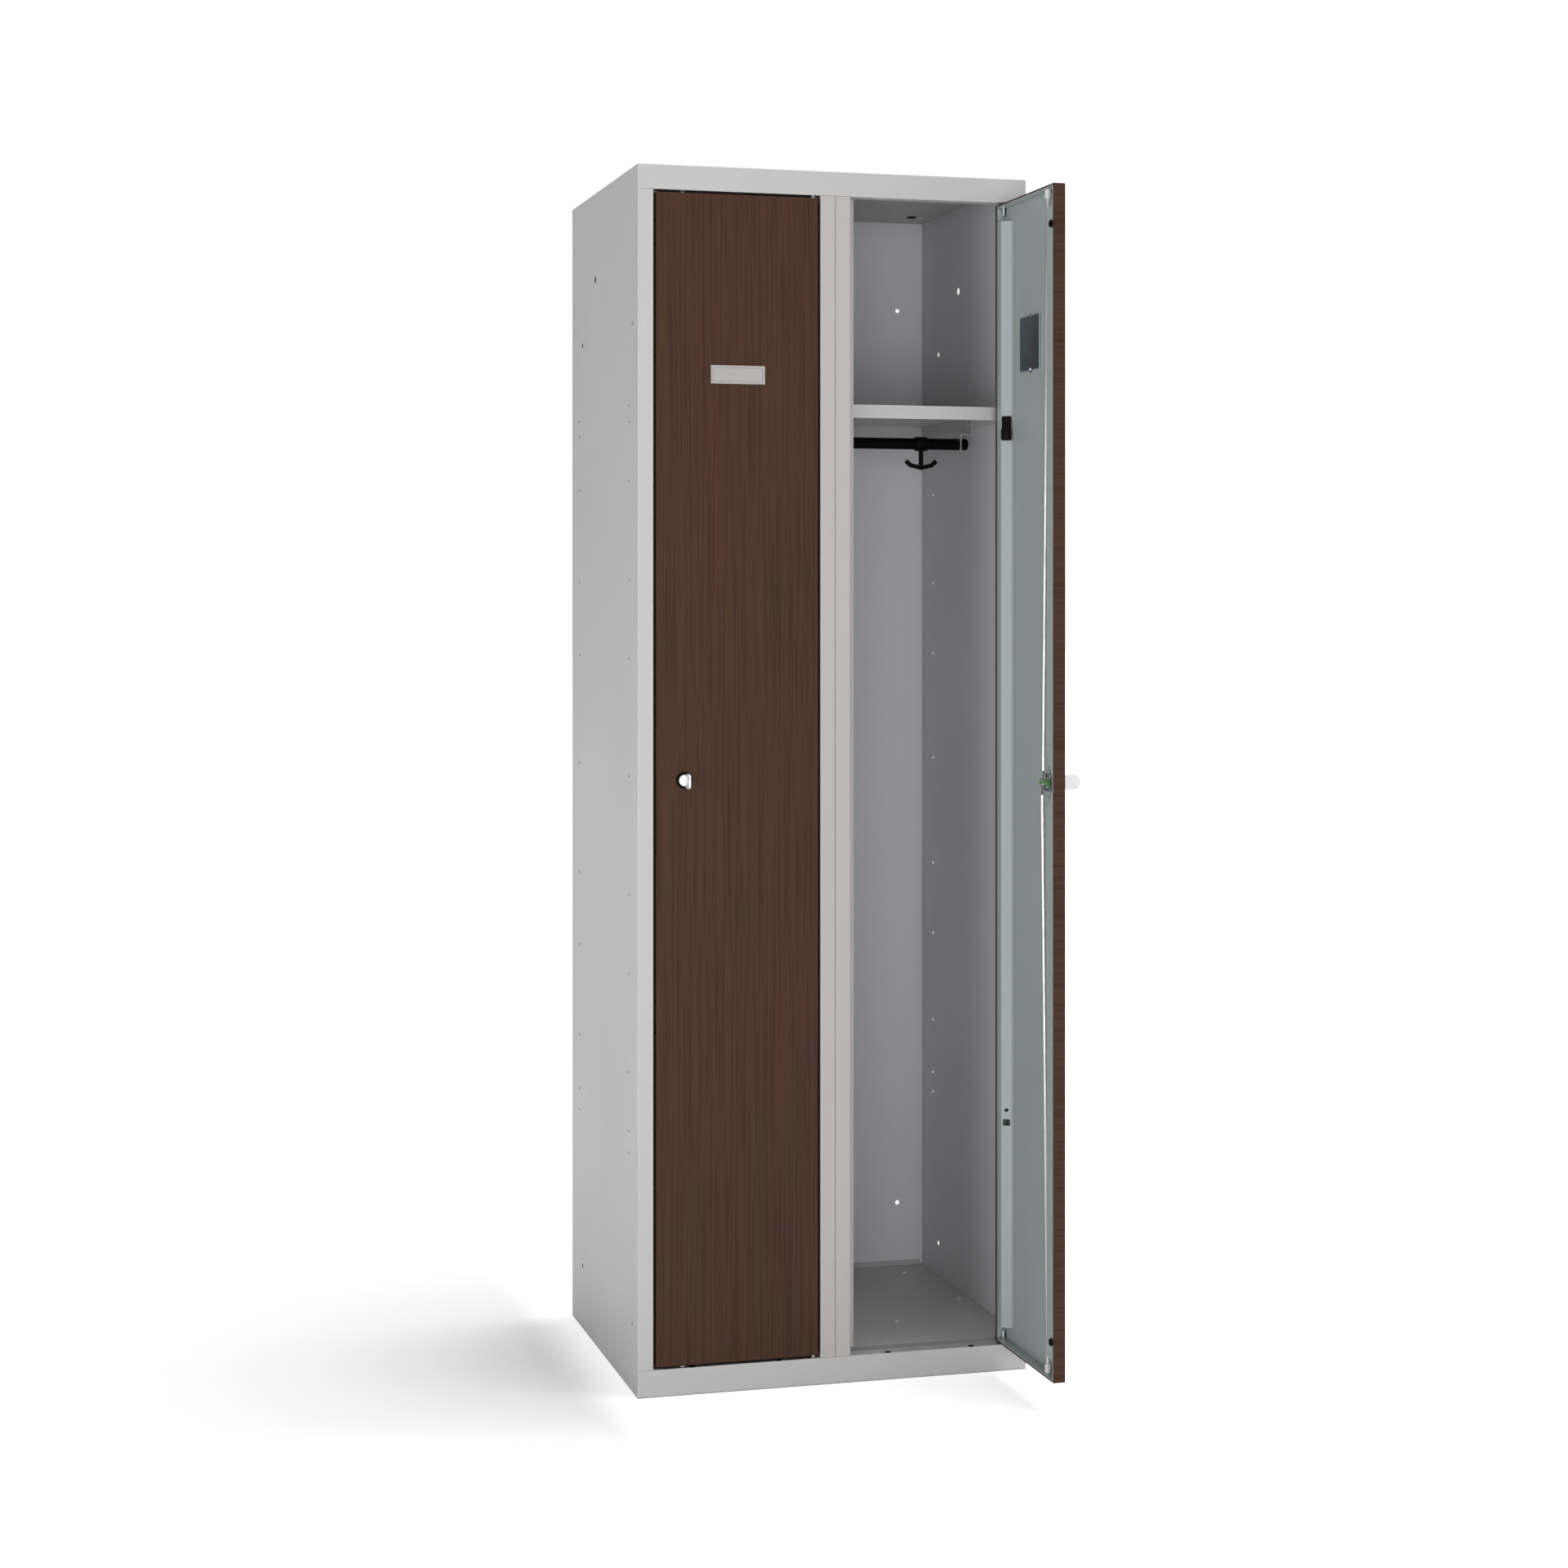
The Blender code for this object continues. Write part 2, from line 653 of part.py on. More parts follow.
def rod_bracket(name, facing, bay):
    """Hangs from the shelf's end flange, steps inwards and holds the rod in a hole."""
    strap = BAY / 2 - 2 * (SHEET + FIT) - FIT
    level = ROD_HEIGHT + ROD_RADIUS + FIT + BRACKET_SADDLE + BRACKET_SHEET
    plate = strap - BRACKET_REACH
    path = [
        (strap, SHELF_TOP - SHEET - FIT),
        (strap, level),
        (plate, level),
        (plate, ROD_HEIGHT - BRACKET_PLATE),
    ]
    if facing > 0:
        path = [(-x, z) for x, z in path]
    corners = [(x, facing * BRACKET_WIDTH / 2, z) for x, z in path]
    run = (0, -facing * BRACKET_WIDTH, 0)
    made = folded_sheet(name, corners, run, STEEL, BRACKET_SHEET, parent=bay, fold=FOLD_RADIUS)
    inner = (-facing * (plate - OVERRUN / 2), 0, ROD_HEIGHT)
    outer = (-facing * (plate + OVERRUN / 2), 0, ROD_HEIGHT)
    cut(made, rounds=[(inner, outer, ROD_RADIUS + FIT, MANY_SIDES)])


def hanging_rod(side, bay):
    half = BAY / 2 - SHEET - ROD_END_GAP
    bm = bmesh.new()
    add_round(bm, (-half, 0, 0), (half, 0, 0), ROD_RADIUS, MANY_SIDES)
    name = side + "_hanging_rod"
    made = piece(name, mesh_from(bm, name), BLACK_ENAMEL, (0, 0, ROD_HEIGHT), bay)
    bevel(made, ROD_END_ROUND)
    smooth(made)


def coat_hook(side, bay):
    """A sleeve that slides along the rod, with a stem and two upturned arms."""
    inner = ROD_RADIUS + FIT
    outer = inner + HOOK_SLEEVE_WALL
    half = HOOK_SLEEVE_LENGTH / 2
    name = side + "_coat_hook"
    bm = bmesh.new()
    add_round(bm, (-half, 0, 0), (half, 0, 0), outer, MANY_SIDES)
    made = piece(name, mesh_from(bm, name), BLACK_PLASTIC, (HOOK_OFFSET, 0, ROD_HEIGHT), bay)
    bevel(made, HOOK_SLEEVE_WALL * SMALL_ROUND_SHARE, 1)
    bm = bmesh.new()
    add_round(bm, (0, 0, -HOOK_ROOT_SHARE * outer), (0, 0, -HOOK_DROP), HOOK_WIRE, SIDES)
    join(made, bm)
    kink = HOOK_KINK_SHARE * HOOK_REACH
    points = [
        (-HOOK_REACH, 0, HOOK_TIP_RISE - HOOK_DROP),
        (-kink, 0, HOOK_KINK_RISE - HOOK_DROP),
        (0, 0, -HOOK_DROP),
        (kink, 0, HOOK_KINK_RISE - HOOK_DROP),
        (HOOK_REACH, 0, HOOK_TIP_RISE - HOOK_DROP),
    ]
    arms = cutter(name + "_arms", bay, made.location)
    arms.data = wire_mesh(arms.name, points, HOOK_WIRE, bay, 3)
    boolean(made, arms, "UNION")
    cut(made, rounds=[((-half - OVERRUN, 0, 0), (half + OVERRUN, 0, 0), inner, MANY_SIDES)])
    smooth(made)


def roof_plug(side, bay):
    """A black plug pushed up into the roof's hole from inside the bay."""
    outline = [
        (0, SHEET - FIT),
        (PLUG_HOLE_RADIUS - FIT, SHEET - FIT),
        (PLUG_HOLE_RADIUS - FIT, -FIT),
        (PLUG_HEAD_RADIUS, -FIT),
        (PLUG_HEAD_RADIUS, -PLUG_HEAD / 2),
        (PLUG_HOLE_RADIUS - FIT, -PLUG_HEAD),
        (0, -PLUG_HEAD),
    ]
    place = (PLUG_HOLE_OFFSET, FRONT + PLUG_HOLE_DEPTH, HEIGHT - SHEET)
    smooth(turned(side + "_roof_plug", outline, BLACK_PLASTIC, place, bay))


def door_skin(side, hinge):
    """The wood-faced pan: a front with returns on all four edges."""
    low = (DOOR_FREE_EDGE, DOOR_FACE, DOOR_BOTTOM)
    high = (PIN_INSET, DOOR_BACK, DOOR_TOP)
    made = open_pan(side + "_door_skin", low, high, (0, 1, 0), WOOD_LOOK, DOOR_SHEET, hinge, DOOR_ROUND)
    rounds = [lock_bore(BARREL_RADIUS + FIT)]
    for end in (DOOR_BOTTOM, DOOR_TOP):
        rounds.append(upright_hole(0, 0, end, PIN_RADIUS + FIT, SIDES))
        rounds.append(rod_hole(end))
    cut(made, rounds=rounds)


def rod_hole(end):
    """The lock rod's hole through one end of the door."""
    depth = LOCK_ROD_END_DEPTH - PIN_DEPTH
    return upright_hole(-LOCK_FROM_HINGE, depth, end, LOCK_ROD_RADIUS + 2 * FIT, SIDES)


def lock_bore(radius, sides=MANY_SIDES):
    """A hole through the door on the lock's axis."""
    front = (-LOCK_FROM_HINGE, DOOR_FACE - OVERRUN, LOCK_HEIGHT)
    return (front, (-LOCK_FROM_HINGE, DOOR_BACK - SHEET - FIT, LOCK_HEIGHT), radius, sides)


def door_liner(side, hinge):
    """The inner steel pan: walls on all four edges, and a lip along the free edge."""
    bottom = DOOR_BOTTOM + DOOR_SHEET + FIT
    top = DOOR_TOP - DOOR_SHEET - FIT
    lip_end = LINER_FREE_EDGE + LINER_LIP
    path = [
        (lip_end, DOOR_BACK),
        (LINER_FREE_EDGE, DOOR_BACK),
        (LINER_FREE_EDGE, LINER_FRONT),
        (LINER_HINGE_EDGE, LINER_FRONT),
        (LINER_HINGE_EDGE, DOOR_BACK),
    ]
    corners = [(x, y, bottom) for x, y in path]
    made = folded_sheet(side + "_door_liner", corners, (0, 0, top - bottom), INNER_PAINT, parent=hinge)
    inside = LINER_FREE_EDGE + SHEET + FOLD_RADIUS
    lip_front = DOOR_BACK - 2 * SHEET
    boxes = [
        ((inside, lip_front, z0), (lip_end + OVERRUN, DOOR_BACK + OVERRUN, z1))
        for z0, z1 in (
            (bottom - OVERRUN, DOOR_BOTTOM + LINER_END_CUT),
            (DOOR_TOP - LINER_END_CUT, top + OVERRUN),
        )
    ]
    relief = (
        (-LOCK_FROM_HINGE, lip_front, LOCK_HEIGHT),
        (-LOCK_FROM_HINGE, DOOR_BACK + OVERRUN, LOCK_HEIGHT),
        LOCK_RELIEF_RADIUS,
        MANY_SIDES,
    )
    cut(made, boxes, [relief, lock_bore(BARREL_RADIUS + FIT)])

    # Walls at the two ends, with a hole for each lock rod; they stop short of the hinge pins
    for number, level in enumerate((bottom + FIT, top - FIT - SHEET)):
        bm = bmesh.new()
        low = (LINER_FREE_EDGE + SHEET / 2, LINER_FRONT + SHEET / 2, level)
        add_box(bm, low, (-PIN_RADIUS - 2 * FIT, DOOR_BACK - FIT, level + SHEET))
        join(made, bm)
        made.modifiers[-1].name = f"end_wall_{number}"
    cut(made, rounds=[rod_hole(end) for end in (DOOR_BOTTOM, DOOR_TOP)])


def door_box(side, hinge):
    """The stiffening box along the hinge edge: a flange, a slanted wall and a foot on the liner."""
    bottom = DOOR_BOTTOM + BOX_END
    top = DOOR_TOP - BOX_END
    foot = LINER_BACK + FIT + SHEET
    path = [
        (LINER_HINGE_EDGE - SHEET - FIT, DOOR_BACK),
        (-BOX_FLANGE_END, DOOR_BACK),
        (-BOX_FOOT_START, foot),
        (-BOX_FOOT_START - BOX_FOOT, foot),
    ]
    corners = [(x, y, bottom) for x, y in path]
    name = side + "_door_stiffener"
    made = folded_sheet(name, corners, (0, 0, top - bottom), INNER_PAINT, parent=hinge)
    middle = -(BOX_FLANGE_END + BOX_FOOT_START) / 2
    depth = (DOOR_BACK + foot) / 2
    half = WALL_SLOT_SIDE / 2
    slot = (
        (middle - OVERRUN, depth - half, WALL_SLOT_HEIGHT - half),
        (middle + OVERRUN, depth + half, WALL_SLOT_HEIGHT + half),
    )
    hole = (
        (middle - OVERRUN, depth, WALL_HOLE_HEIGHT),
        (middle + OVERRUN, depth, WALL_HOLE_HEIGHT),
        WALL_HOLE_RADIUS,
        FEW_SIDES,
    )
    cut(made, [slot], [hole])


def hinge_pin(name, frame_level, upward, hinge):
    """A pin fixed in the door's end, with a collar in the gap, that turns in the frame's hole."""
    door_end = -DOOR_GAP
    outline = [
        (0, PIN_IN_FRAME),
        (PIN_RADIUS - PIN_TAPER, PIN_IN_FRAME),
        (PIN_RADIUS, PIN_IN_FRAME - PIN_TAPER),
        (PIN_RADIUS, door_end + PIN_COLLAR + FIT),
        (PIN_COLLAR_RADIUS, door_end + PIN_COLLAR + FIT),
        (PIN_COLLAR_RADIUS, door_end + FIT),
        (PIN_RADIUS, door_end + FIT),
        (PIN_RADIUS, door_end - PIN_IN_DOOR),
        (0, door_end - PIN_IN_DOOR),
    ]
    made = turned(name, outline, BRIGHT_STEEL, (0, 0, frame_level), hinge, sides=PIN_SIDES)
    if not upward:
        made.rotation_euler.x = math.pi
    smooth(made)


def card_holder(side, hinge):
    middle = DOOR_FREE_EDGE + DOOR_WIDTH / 2
    back = DOOR_FACE - FIT
    low = (middle - CARD_WIDTH / 2, back - CARD_THICKNESS, CARD_LEVEL - CARD_HEIGHT / 2)
    high = (middle + CARD_WIDTH / 2, back, CARD_LEVEL + CARD_HEIGHT / 2)
    made = box_piece(side + "_card_holder", low, high, CARD_GREY, hinge, CARD_POCKET * SMALL_ROUND_SHARE)
    pocket_low = (low[0] + CARD_RIM, low[1] - OVERRUN, low[2] + CARD_RIM)
    pocket_high = (high[0] - CARD_RIM, low[1] + CARD_POCKET, high[2] - CARD_RIM)
    cut(made, [(pocket_low, pocket_high)])


def mirror(side, hinge):
    back = LINER_BACK + FIT
    low = (-MIRROR_START - MIRROR_SIDE, back, MIRROR_LEVEL - MIRROR_SIDE / 2)
    high = (-MIRROR_START, back + MIRROR_THICKNESS, MIRROR_LEVEL + MIRROR_SIDE / 2)
    box_piece(side + "_mirror", low, high, MIRROR_GLASS, hinge, MIRROR_THICKNESS * MIRROR_ROUND_SHARE)


def towel_hook(side, hinge):
    """A plastic hook clipped to the slanted wall: a back plate with a tab at its foot."""
    run = Vector((BOX_FLANGE_END - BOX_FOOT_START, LINER_BACK + FIT + SHEET - DOOR_BACK))
    middle = Vector((-(BOX_FLANGE_END + BOX_FOOT_START) / 2, (DOOR_BACK + LINER_BACK + SHEET) / 2))
    bm = bmesh.new()
    half = TOWEL_HOOK_WIDTH / 2
    add_box(bm, (FIT, -half, -TOWEL_HOOK_BACK), (FIT + TOWEL_HOOK_PLATE, half, 0))
    name = side + "_towel_hook"
    made = piece(name, mesh_from(bm, name), BLACK_PLASTIC, parent=hinge)
    made.location = (middle.x, middle.y, TOWEL_HOOK_TOP)
    made.rotation_euler.z = math.atan2(run.y, run.x) - math.pi / 2
    bevel(made, TOWEL_HOOK_PLATE / 4, 1)
    bm = bmesh.new()
    low = (FIT + TOWEL_HOOK_PLATE / 2, -half + SHEET, -TOWEL_HOOK_BACK + SHEET)
    high = (FIT + TOWEL_HOOK_REACH, half - SHEET, -TOWEL_HOOK_BACK + TOWEL_HOOK_TAB)
    add_box(bm, low, high)
    join(made, bm)
    joined = made.modifiers[-1].object
    joined.rotation_euler = made.rotation_euler


def buffer(name, level, hinge):
    """A rubber button that meets the cabinet's stop lip."""
    x = DOOR_FREE_EDGE + BUFFER_FROM_EDGE
    start = (x, DOOR_BACK + FIT, level)
    end = (x, STOP_DEPTH - PIN_DEPTH - FIT, level)
    bm = bmesh.new()
    add_round(bm, start, end, BUFFER_RADIUS, SIDES)
    made = piece(name, mesh_from(bm, name), RUBBER, parent=hinge)
    bevel(made, BUFFER_RADIUS / 8, 1)
    smooth(made)


# Depths of the lock's layers behind the hinge axis, from the case to the lower rod's yoke
CASE_BACK = LINER_BACK + FIT + CASE_DEPTH
HUB_FRONT = CASE_BACK + FIT
BAR_FRONT = HUB_FRONT + HUB_DEPTH
BAR_BACK = BAR_FRONT + CRANK_BAR
UPPER_YOKE = BAR_BACK + FIT
LOWER_YOKE = UPPER_YOKE + YOKE_THICKNESS + FIT
PINS_BACK = LOWER_YOKE + YOKE_THICKNESS + FIT


def lock_pieces(side, hinge):
    axis = Vector((-LOCK_FROM_HINGE, 0, LOCK_HEIGHT))
    place = empty(side + "_lock_axis", axis, parent=hinge)

    # Rosette round the barrel, on the door's face
    front = DOOR_FACE - FIT
    bore = BARREL_RADIUS + FIT
    outline = [
        (bore, ROSETTE_THICKNESS),
        (ROSETTE_RADIUS - ROSETTE_THICKNESS * SMALL_ROUND_SHARE, ROSETTE_THICKNESS),
        (ROSETTE_RADIUS, ROSETTE_THICKNESS / 2),
        (ROSETTE_RADIUS, 0),
        (bore, 0),
    ]
    smooth(turned(side + "_rosette", outline, BLACK_PLASTIC, (0, front, 0), place, "Y", MANY_SIDES))

    # Barrel and wing knob
    barrel_front = front - BARREL_FRONT
    bm = bmesh.new()
    add_round(bm, (0, CASE_BACK, 0), (0, barrel_front, 0), BARREL_RADIUS, MANY_SIDES)
    knob = piece(side + "_knob", mesh_from(bm, "knob"), NICKEL, parent=place)
    bm = bmesh.new()
    root = barrel_front + BARREL_FRONT / 2
    tip = barrel_front - WING_REACH
    low = (WING_OFFSET - WING_THICKNESS / 2, root, -WING_ROOT / 2)
    wing = add_box(bm, low, (WING_OFFSET + WING_THICKNESS / 2, tip, WING_ROOT / 2))
    flare = [corner for corner in wing if corner.co.y < (root + tip) / 2]
    bmesh.ops.scale(bm, vec=(1, 1, WING_TIP / WING_ROOT), verts=flare)
    upright = [edge for edge in bm.edges if all(end in flare for end in edge.verts)]
    bmesh.ops.bevel(bm, geom=upright, offset=WING_THICKNESS * SMALL_ROUND_SHARE, segments=2, affect="EDGES")
    join(knob, bm)
    half = KEYWAY_WIDTH / 2
    keyway = (
        (-half, barrel_front - OVERRUN, -KEYWAY_HEIGHT / 2),
        (half, barrel_front + KEYWAY_DEPTH, KEYWAY_HEIGHT / 2),
    )
    cut(knob, [keyway])
    smooth(knob)

    # Case behind the liner, with an arm and a tab towards the free edge
    case_front = LINER_BACK + FIT
    half = CASE_WIDTH / 2
    case = box_piece(
        side + "_lock_case",
        (-half, case_front, -CASE_HEIGHT / 2),
        (half, CASE_BACK, CASE_HEIGHT / 2),
        CASE_STEEL,
        place,
        SHEET / 2,
    )
    bm = bmesh.new()
    arm = CASE_ARM_HEIGHT / 2
    add_box(bm, (-half - CASE_ARM_END, case_front, -arm), (-half + SHEET, case_front + 2 * SHEET, arm))
    join(case, bm)
    bm = bmesh.new()
    tab_end = CASE_BACK + CASE_TAB
    add_box(bm, (-half - CASE_ARM_END, case_front, -arm), (2 * SHEET - half - CASE_ARM_END, tab_end, arm))
    join(case, bm)
    cut(case, rounds=[((0, DOOR_FACE, 0), (0, DOOR_BACK + OVERRUN, 0), bore, MANY_SIDES)])

    # Crank on the barrel's end: a hub, a bar and two pins, the upper rod's towards the hinge
    bm = bmesh.new()
    add_round(bm, (0, HUB_FRONT, 0), (0, BAR_FRONT + CRANK_BAR / 2, 0), HUB_RADIUS, SIDES)
    crank = piece(side + "_lock_crank", mesh_from(bm, "crank"), GREEN_PLASTIC, parent=place)
    bm = bmesh.new()
    reach = CRANK + 2 * CRANK_PIN_RADIUS
    low = (-reach, BAR_FRONT, -2 * CRANK_PIN_RADIUS)
    add_box(bm, low, (reach, BAR_BACK, 2 * CRANK_PIN_RADIUS))
    join(crank, bm)
    for number, x in enumerate((-CRANK, CRANK)):
        bm = bmesh.new()
        middle = BAR_FRONT + CRANK_BAR / 2
        add_round(bm, (x, middle, 0), (x, PINS_BACK, 0), CRANK_PIN_RADIUS, SIDES)
        join(crank, bm)
        crank.modifiers[-1].name = f"pin_{number}"

    lock_rod(side + "_upper_lock_rod", 1, place)
    lock_rod(side + "_lower_lock_rod", -1, place)
    for name, way, end in (("upper", 1, DOOR_TOP), ("lower", -1, DOOR_BOTTOM)):
        outer = end - way * (DOOR_SHEET + SHEET + 3 * FIT) - LOCK_HEIGHT
        inner = outer - way * GUIDE_LENGTH
        depth = LOCK_ROD_END_DEPTH - PIN_DEPTH
        bm = bmesh.new()
        add_round(bm, (0, depth, inner), (0, depth, outer), GUIDE_RADIUS, SIDES)
        guide_name = f"{side}_{name}_rod_guide"
        guide = piece(guide_name, mesh_from(bm, guide_name), WHITE_PLASTIC, parent=place)
        through = ((0, depth, inner - way * SHEET), (0, depth, outer + way * SHEET))
        cut(guide, rounds=[(*through, LOCK_ROD_RADIUS + FIT, SIDES)])
        smooth(guide)


def lock_rod(name, way, place):
    """A round rod with a slotted yoke on the crank's pin. `way` is 1 for the upper rod.

    A quarter turn of the knob moves the rod by the crank's length. The slot is wide enough for the
    pin's swing about that steady travel.
    """
    yoke = UPPER_YOKE if way > 0 else LOWER_YOKE
    lost = CRANK_LOST_SHARE * CRANK
    slot_half = CRANK_PIN_RADIUS + lost / 2 + YOKE_SLACK
    centre = way * lost / 2
    plate_half = slot_half + YOKE_RIM
    near = CRANK_PIN_RADIUS + 2 * YOKE_SLACK
    far = CRANK + near
    middle = yoke + YOKE_THICKNESS / 2
    bm = bmesh.new()
    low = (-way * (near + YOKE_RIM), yoke, centre - plate_half)
    add_box(bm, low, (way * (far + YOKE_RIM), yoke + YOKE_THICKNESS, centre + plate_half))
    made = piece(name, mesh_from(bm, name), ROD_STEEL, parent=place)
    slot = (
        (-way * near, yoke - OVERRUN, centre - slot_half),
        (way * far, yoke + OVERRUN, centre + slot_half),
    )
    cut(made, [slot])
    end = DOOR_TOP if way > 0 else DOOR_BOTTOM
    tip = (0, LOCK_ROD_END_DEPTH - PIN_DEPTH, end + way * ROD_TIP_REST - LOCK_HEIGHT)
    start = centre + way * (plate_half + LOCK_ROD_NECK)
    depth = middle + LOCK_ROD_RADIUS - YOKE_THICKNESS / 2 - SHEET
    bm = bmesh.new()
    neck = (-near - YOKE_RIM, yoke, centre + way * (plate_half - SHEET))
    add_box(bm, neck, (near + YOKE_RIM, yoke + YOKE_THICKNESS, start + way * LOCK_ROD_RADIUS * 2))
    join(made, bm)
    bar = cutter(name + "_bar", place)
    bar.data = wire_mesh(bar.name, [(0, depth, start), tip], LOCK_ROD_RADIUS, place, 3)
    boolean(made, bar, "UNION")
    smooth(made)


def door(side, bay, turn):
    hinge = empty(side + "_hinge_axis", (HINGE_OFFSET, FRONT + PIN_DEPTH, 0), turn, bay)
    door_skin(side, hinge)
    door_liner(side, hinge)
    door_box(side, hinge)
    hinge_pin(side + "_upper_hinge_pin", HEADER_BOTTOM, True, hinge)
    hinge_pin(side + "_lower_hinge_pin", PLINTH, False, hinge)
    card_holder(side, hinge)
    mirror(side, hinge)
    towel_hook(side, hinge)
    buffer(side + "_upper_buffer", DOOR_TOP - BUFFER_FROM_END, hinge)
    buffer(side + "_lower_buffer", DOOR_BOTTOM + BUFFER_FROM_END, hinge)
    lock_pieces(side, hinge)


def main():
    wall("left_side_panel", -BAY, 1, False, None)
    wall("left_divider_panel", -FIT / 2, -1, True, None)
    wall("right_divider_panel", FIT / 2, 1, True, None)
    wall("right_side_panel", BAY, -1, False, None)
    roof()
    floor()
    floor_channel()
    rear_panel()
    for side, centre, turn in (("left", -BAY / 2, SHUT), ("right", BAY / 2, OPEN)):
        bay = empty(side + "_bay", (centre, 0, 0))
        shelf(side, bay)
        rod_bracket(side + "_bay_left_rod_bracket", 1, bay)
        rod_bracket(side + "_bay_right_rod_bracket", -1, bay)
        hanging_rod(side, bay)
        coat_hook(side, bay)
        roof_plug(side, bay)
        door(side, bay, turn)


main()
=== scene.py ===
# %% [markdown]
# # A two-door clothes locker
# This lesson dresses a steel locker with two tall wood-look doors. The left door is shut and the right one
# stands open, so we also look at the shelf, the hanging rod and the workings inside the door. The shapes of
# the steelwork come ready made, each in its real place. Our work is light, camera, finishes and small trim.

# %% Load the locker
import bpy
import bmesh
import math
from mathutils import Matrix, Vector


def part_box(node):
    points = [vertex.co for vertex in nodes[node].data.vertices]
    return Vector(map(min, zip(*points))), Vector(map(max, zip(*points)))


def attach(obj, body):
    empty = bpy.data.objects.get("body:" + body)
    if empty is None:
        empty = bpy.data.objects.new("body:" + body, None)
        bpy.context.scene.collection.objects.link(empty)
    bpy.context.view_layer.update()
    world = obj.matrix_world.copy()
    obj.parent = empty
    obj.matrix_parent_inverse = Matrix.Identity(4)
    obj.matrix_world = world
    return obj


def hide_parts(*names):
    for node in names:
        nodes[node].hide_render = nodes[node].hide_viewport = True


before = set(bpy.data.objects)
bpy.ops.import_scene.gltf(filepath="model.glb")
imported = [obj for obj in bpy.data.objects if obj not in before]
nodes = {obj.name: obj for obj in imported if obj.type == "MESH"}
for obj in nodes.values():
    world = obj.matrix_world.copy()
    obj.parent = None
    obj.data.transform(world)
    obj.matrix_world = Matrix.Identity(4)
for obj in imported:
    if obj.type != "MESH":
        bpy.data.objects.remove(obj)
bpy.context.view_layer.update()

# %% [markdown]
# ## The camera
# A studio picture of furniture keeps its uprights upright. The camera stays level, so all vertical edges
# remain parallel, and the lens is shifted down to bring the foot of the locker into the frame. The place was
# found by fitting the corners of a 600 x 500 x 1800 mm box.

# %% Stand the camera
SENSOR = 36.0
FOCAL = 63.89
EYE = (-1.1694, -4.2144, 1.1557)
TURN = 15.373
LENS_SHIFT = -0.1138
QUARTER_TURN = 90.0

lens = bpy.data.cameras.new("studio_lens")
lens.lens = FOCAL
lens.sensor_width = SENSOR
lens.shift_y = LENS_SHIFT
camera = bpy.data.objects.new("studio_camera", lens)
camera.location = EYE
camera.rotation_euler = (math.radians(QUARTER_TURN), 0, -math.radians(TURN))
bpy.context.collection.objects.link(camera)
bpy.context.scene.camera = camera
print("camera at", EYE, "turned", TURN, "degrees")

# %% [markdown]
# ## Small tools for materials
# Every finish below is a node tree. A few helpers keep the cells short: one adds a node and sets its sockets,
# one joins two sockets, and one opens a new node group with named sockets. A finish that several materials
# share is a group, so a change to it reaches all of them.

# %% Node helpers
def pick(sockets, name):
    """The socket in use with this name: a Mix node has several of each name."""
    return next(socket for socket in sockets if socket.name == name and socket.enabled)


def add_node(tree, kind, values=None, **settings):
    """A node of a kind such as TexNoise, with its settings and socket values."""
    node = tree.nodes.new("ShaderNode" + kind)
    for name, value in settings.items():
        setattr(node, name, value)
    for name, value in (values or {}).items():
        pick(node.inputs, name).default_value = value
    return node


def wire(tree, source, socket, target, name):
    tree.links.new(pick(source.outputs, socket), pick(target.inputs, name))


def new_group(name, inputs, outputs):
    """A shader group with its inner input and output nodes. Inputs are (name, kind, default)."""
    tree = bpy.data.node_groups.new(name, "ShaderNodeTree")
    for label, kind, default in inputs:
        socket = tree.interface.new_socket(label, in_out="INPUT", socket_type="NodeSocket" + kind)
        socket.default_value = default
    for label, kind in outputs:
        tree.interface.new_socket(label, in_out="OUTPUT", socket_type="NodeSocket" + kind)
    return tree, tree.nodes.new("NodeGroupInput"), tree.nodes.new("NodeGroupOutput")


def use_group(tree, group, values=None):
    """The group placed in a material, with this material's own values."""
    node = tree.nodes.new("ShaderNodeGroup")
    node.node_tree = group
    for name, value in (values or {}).items():
        node.inputs[name].default_value = value
    return node


def blank_material(name, **values):
    """A material with only its shader and output, and the shader to fill in."""
    made = bpy.data.materials.new(name)
    made.use_nodes = True
    made.node_tree.nodes.clear()
    shader = add_node(made.node_tree, "BsdfPrincipled")
    for socket, value in values.items():
        shader.inputs[socket.replace("_", " ")].default_value = value
    output = add_node(made.node_tree, "OutputMaterial")
    wire(made.node_tree, shader, "BSDF", output, "Surface")
    return made, shader


def wire_skin(tree, skin, shader):
    """Joins a skin group's colour, roughness and normal to the shader."""
    for socket, target in (("Color", "Base Color"), ("Roughness", "Roughness"), ("Normal", "Normal")):
        wire(tree, skin, socket, shader, target)


def rgb(red, green, blue):
    return (red, green, blue, 1.0)


print("node helpers ready")
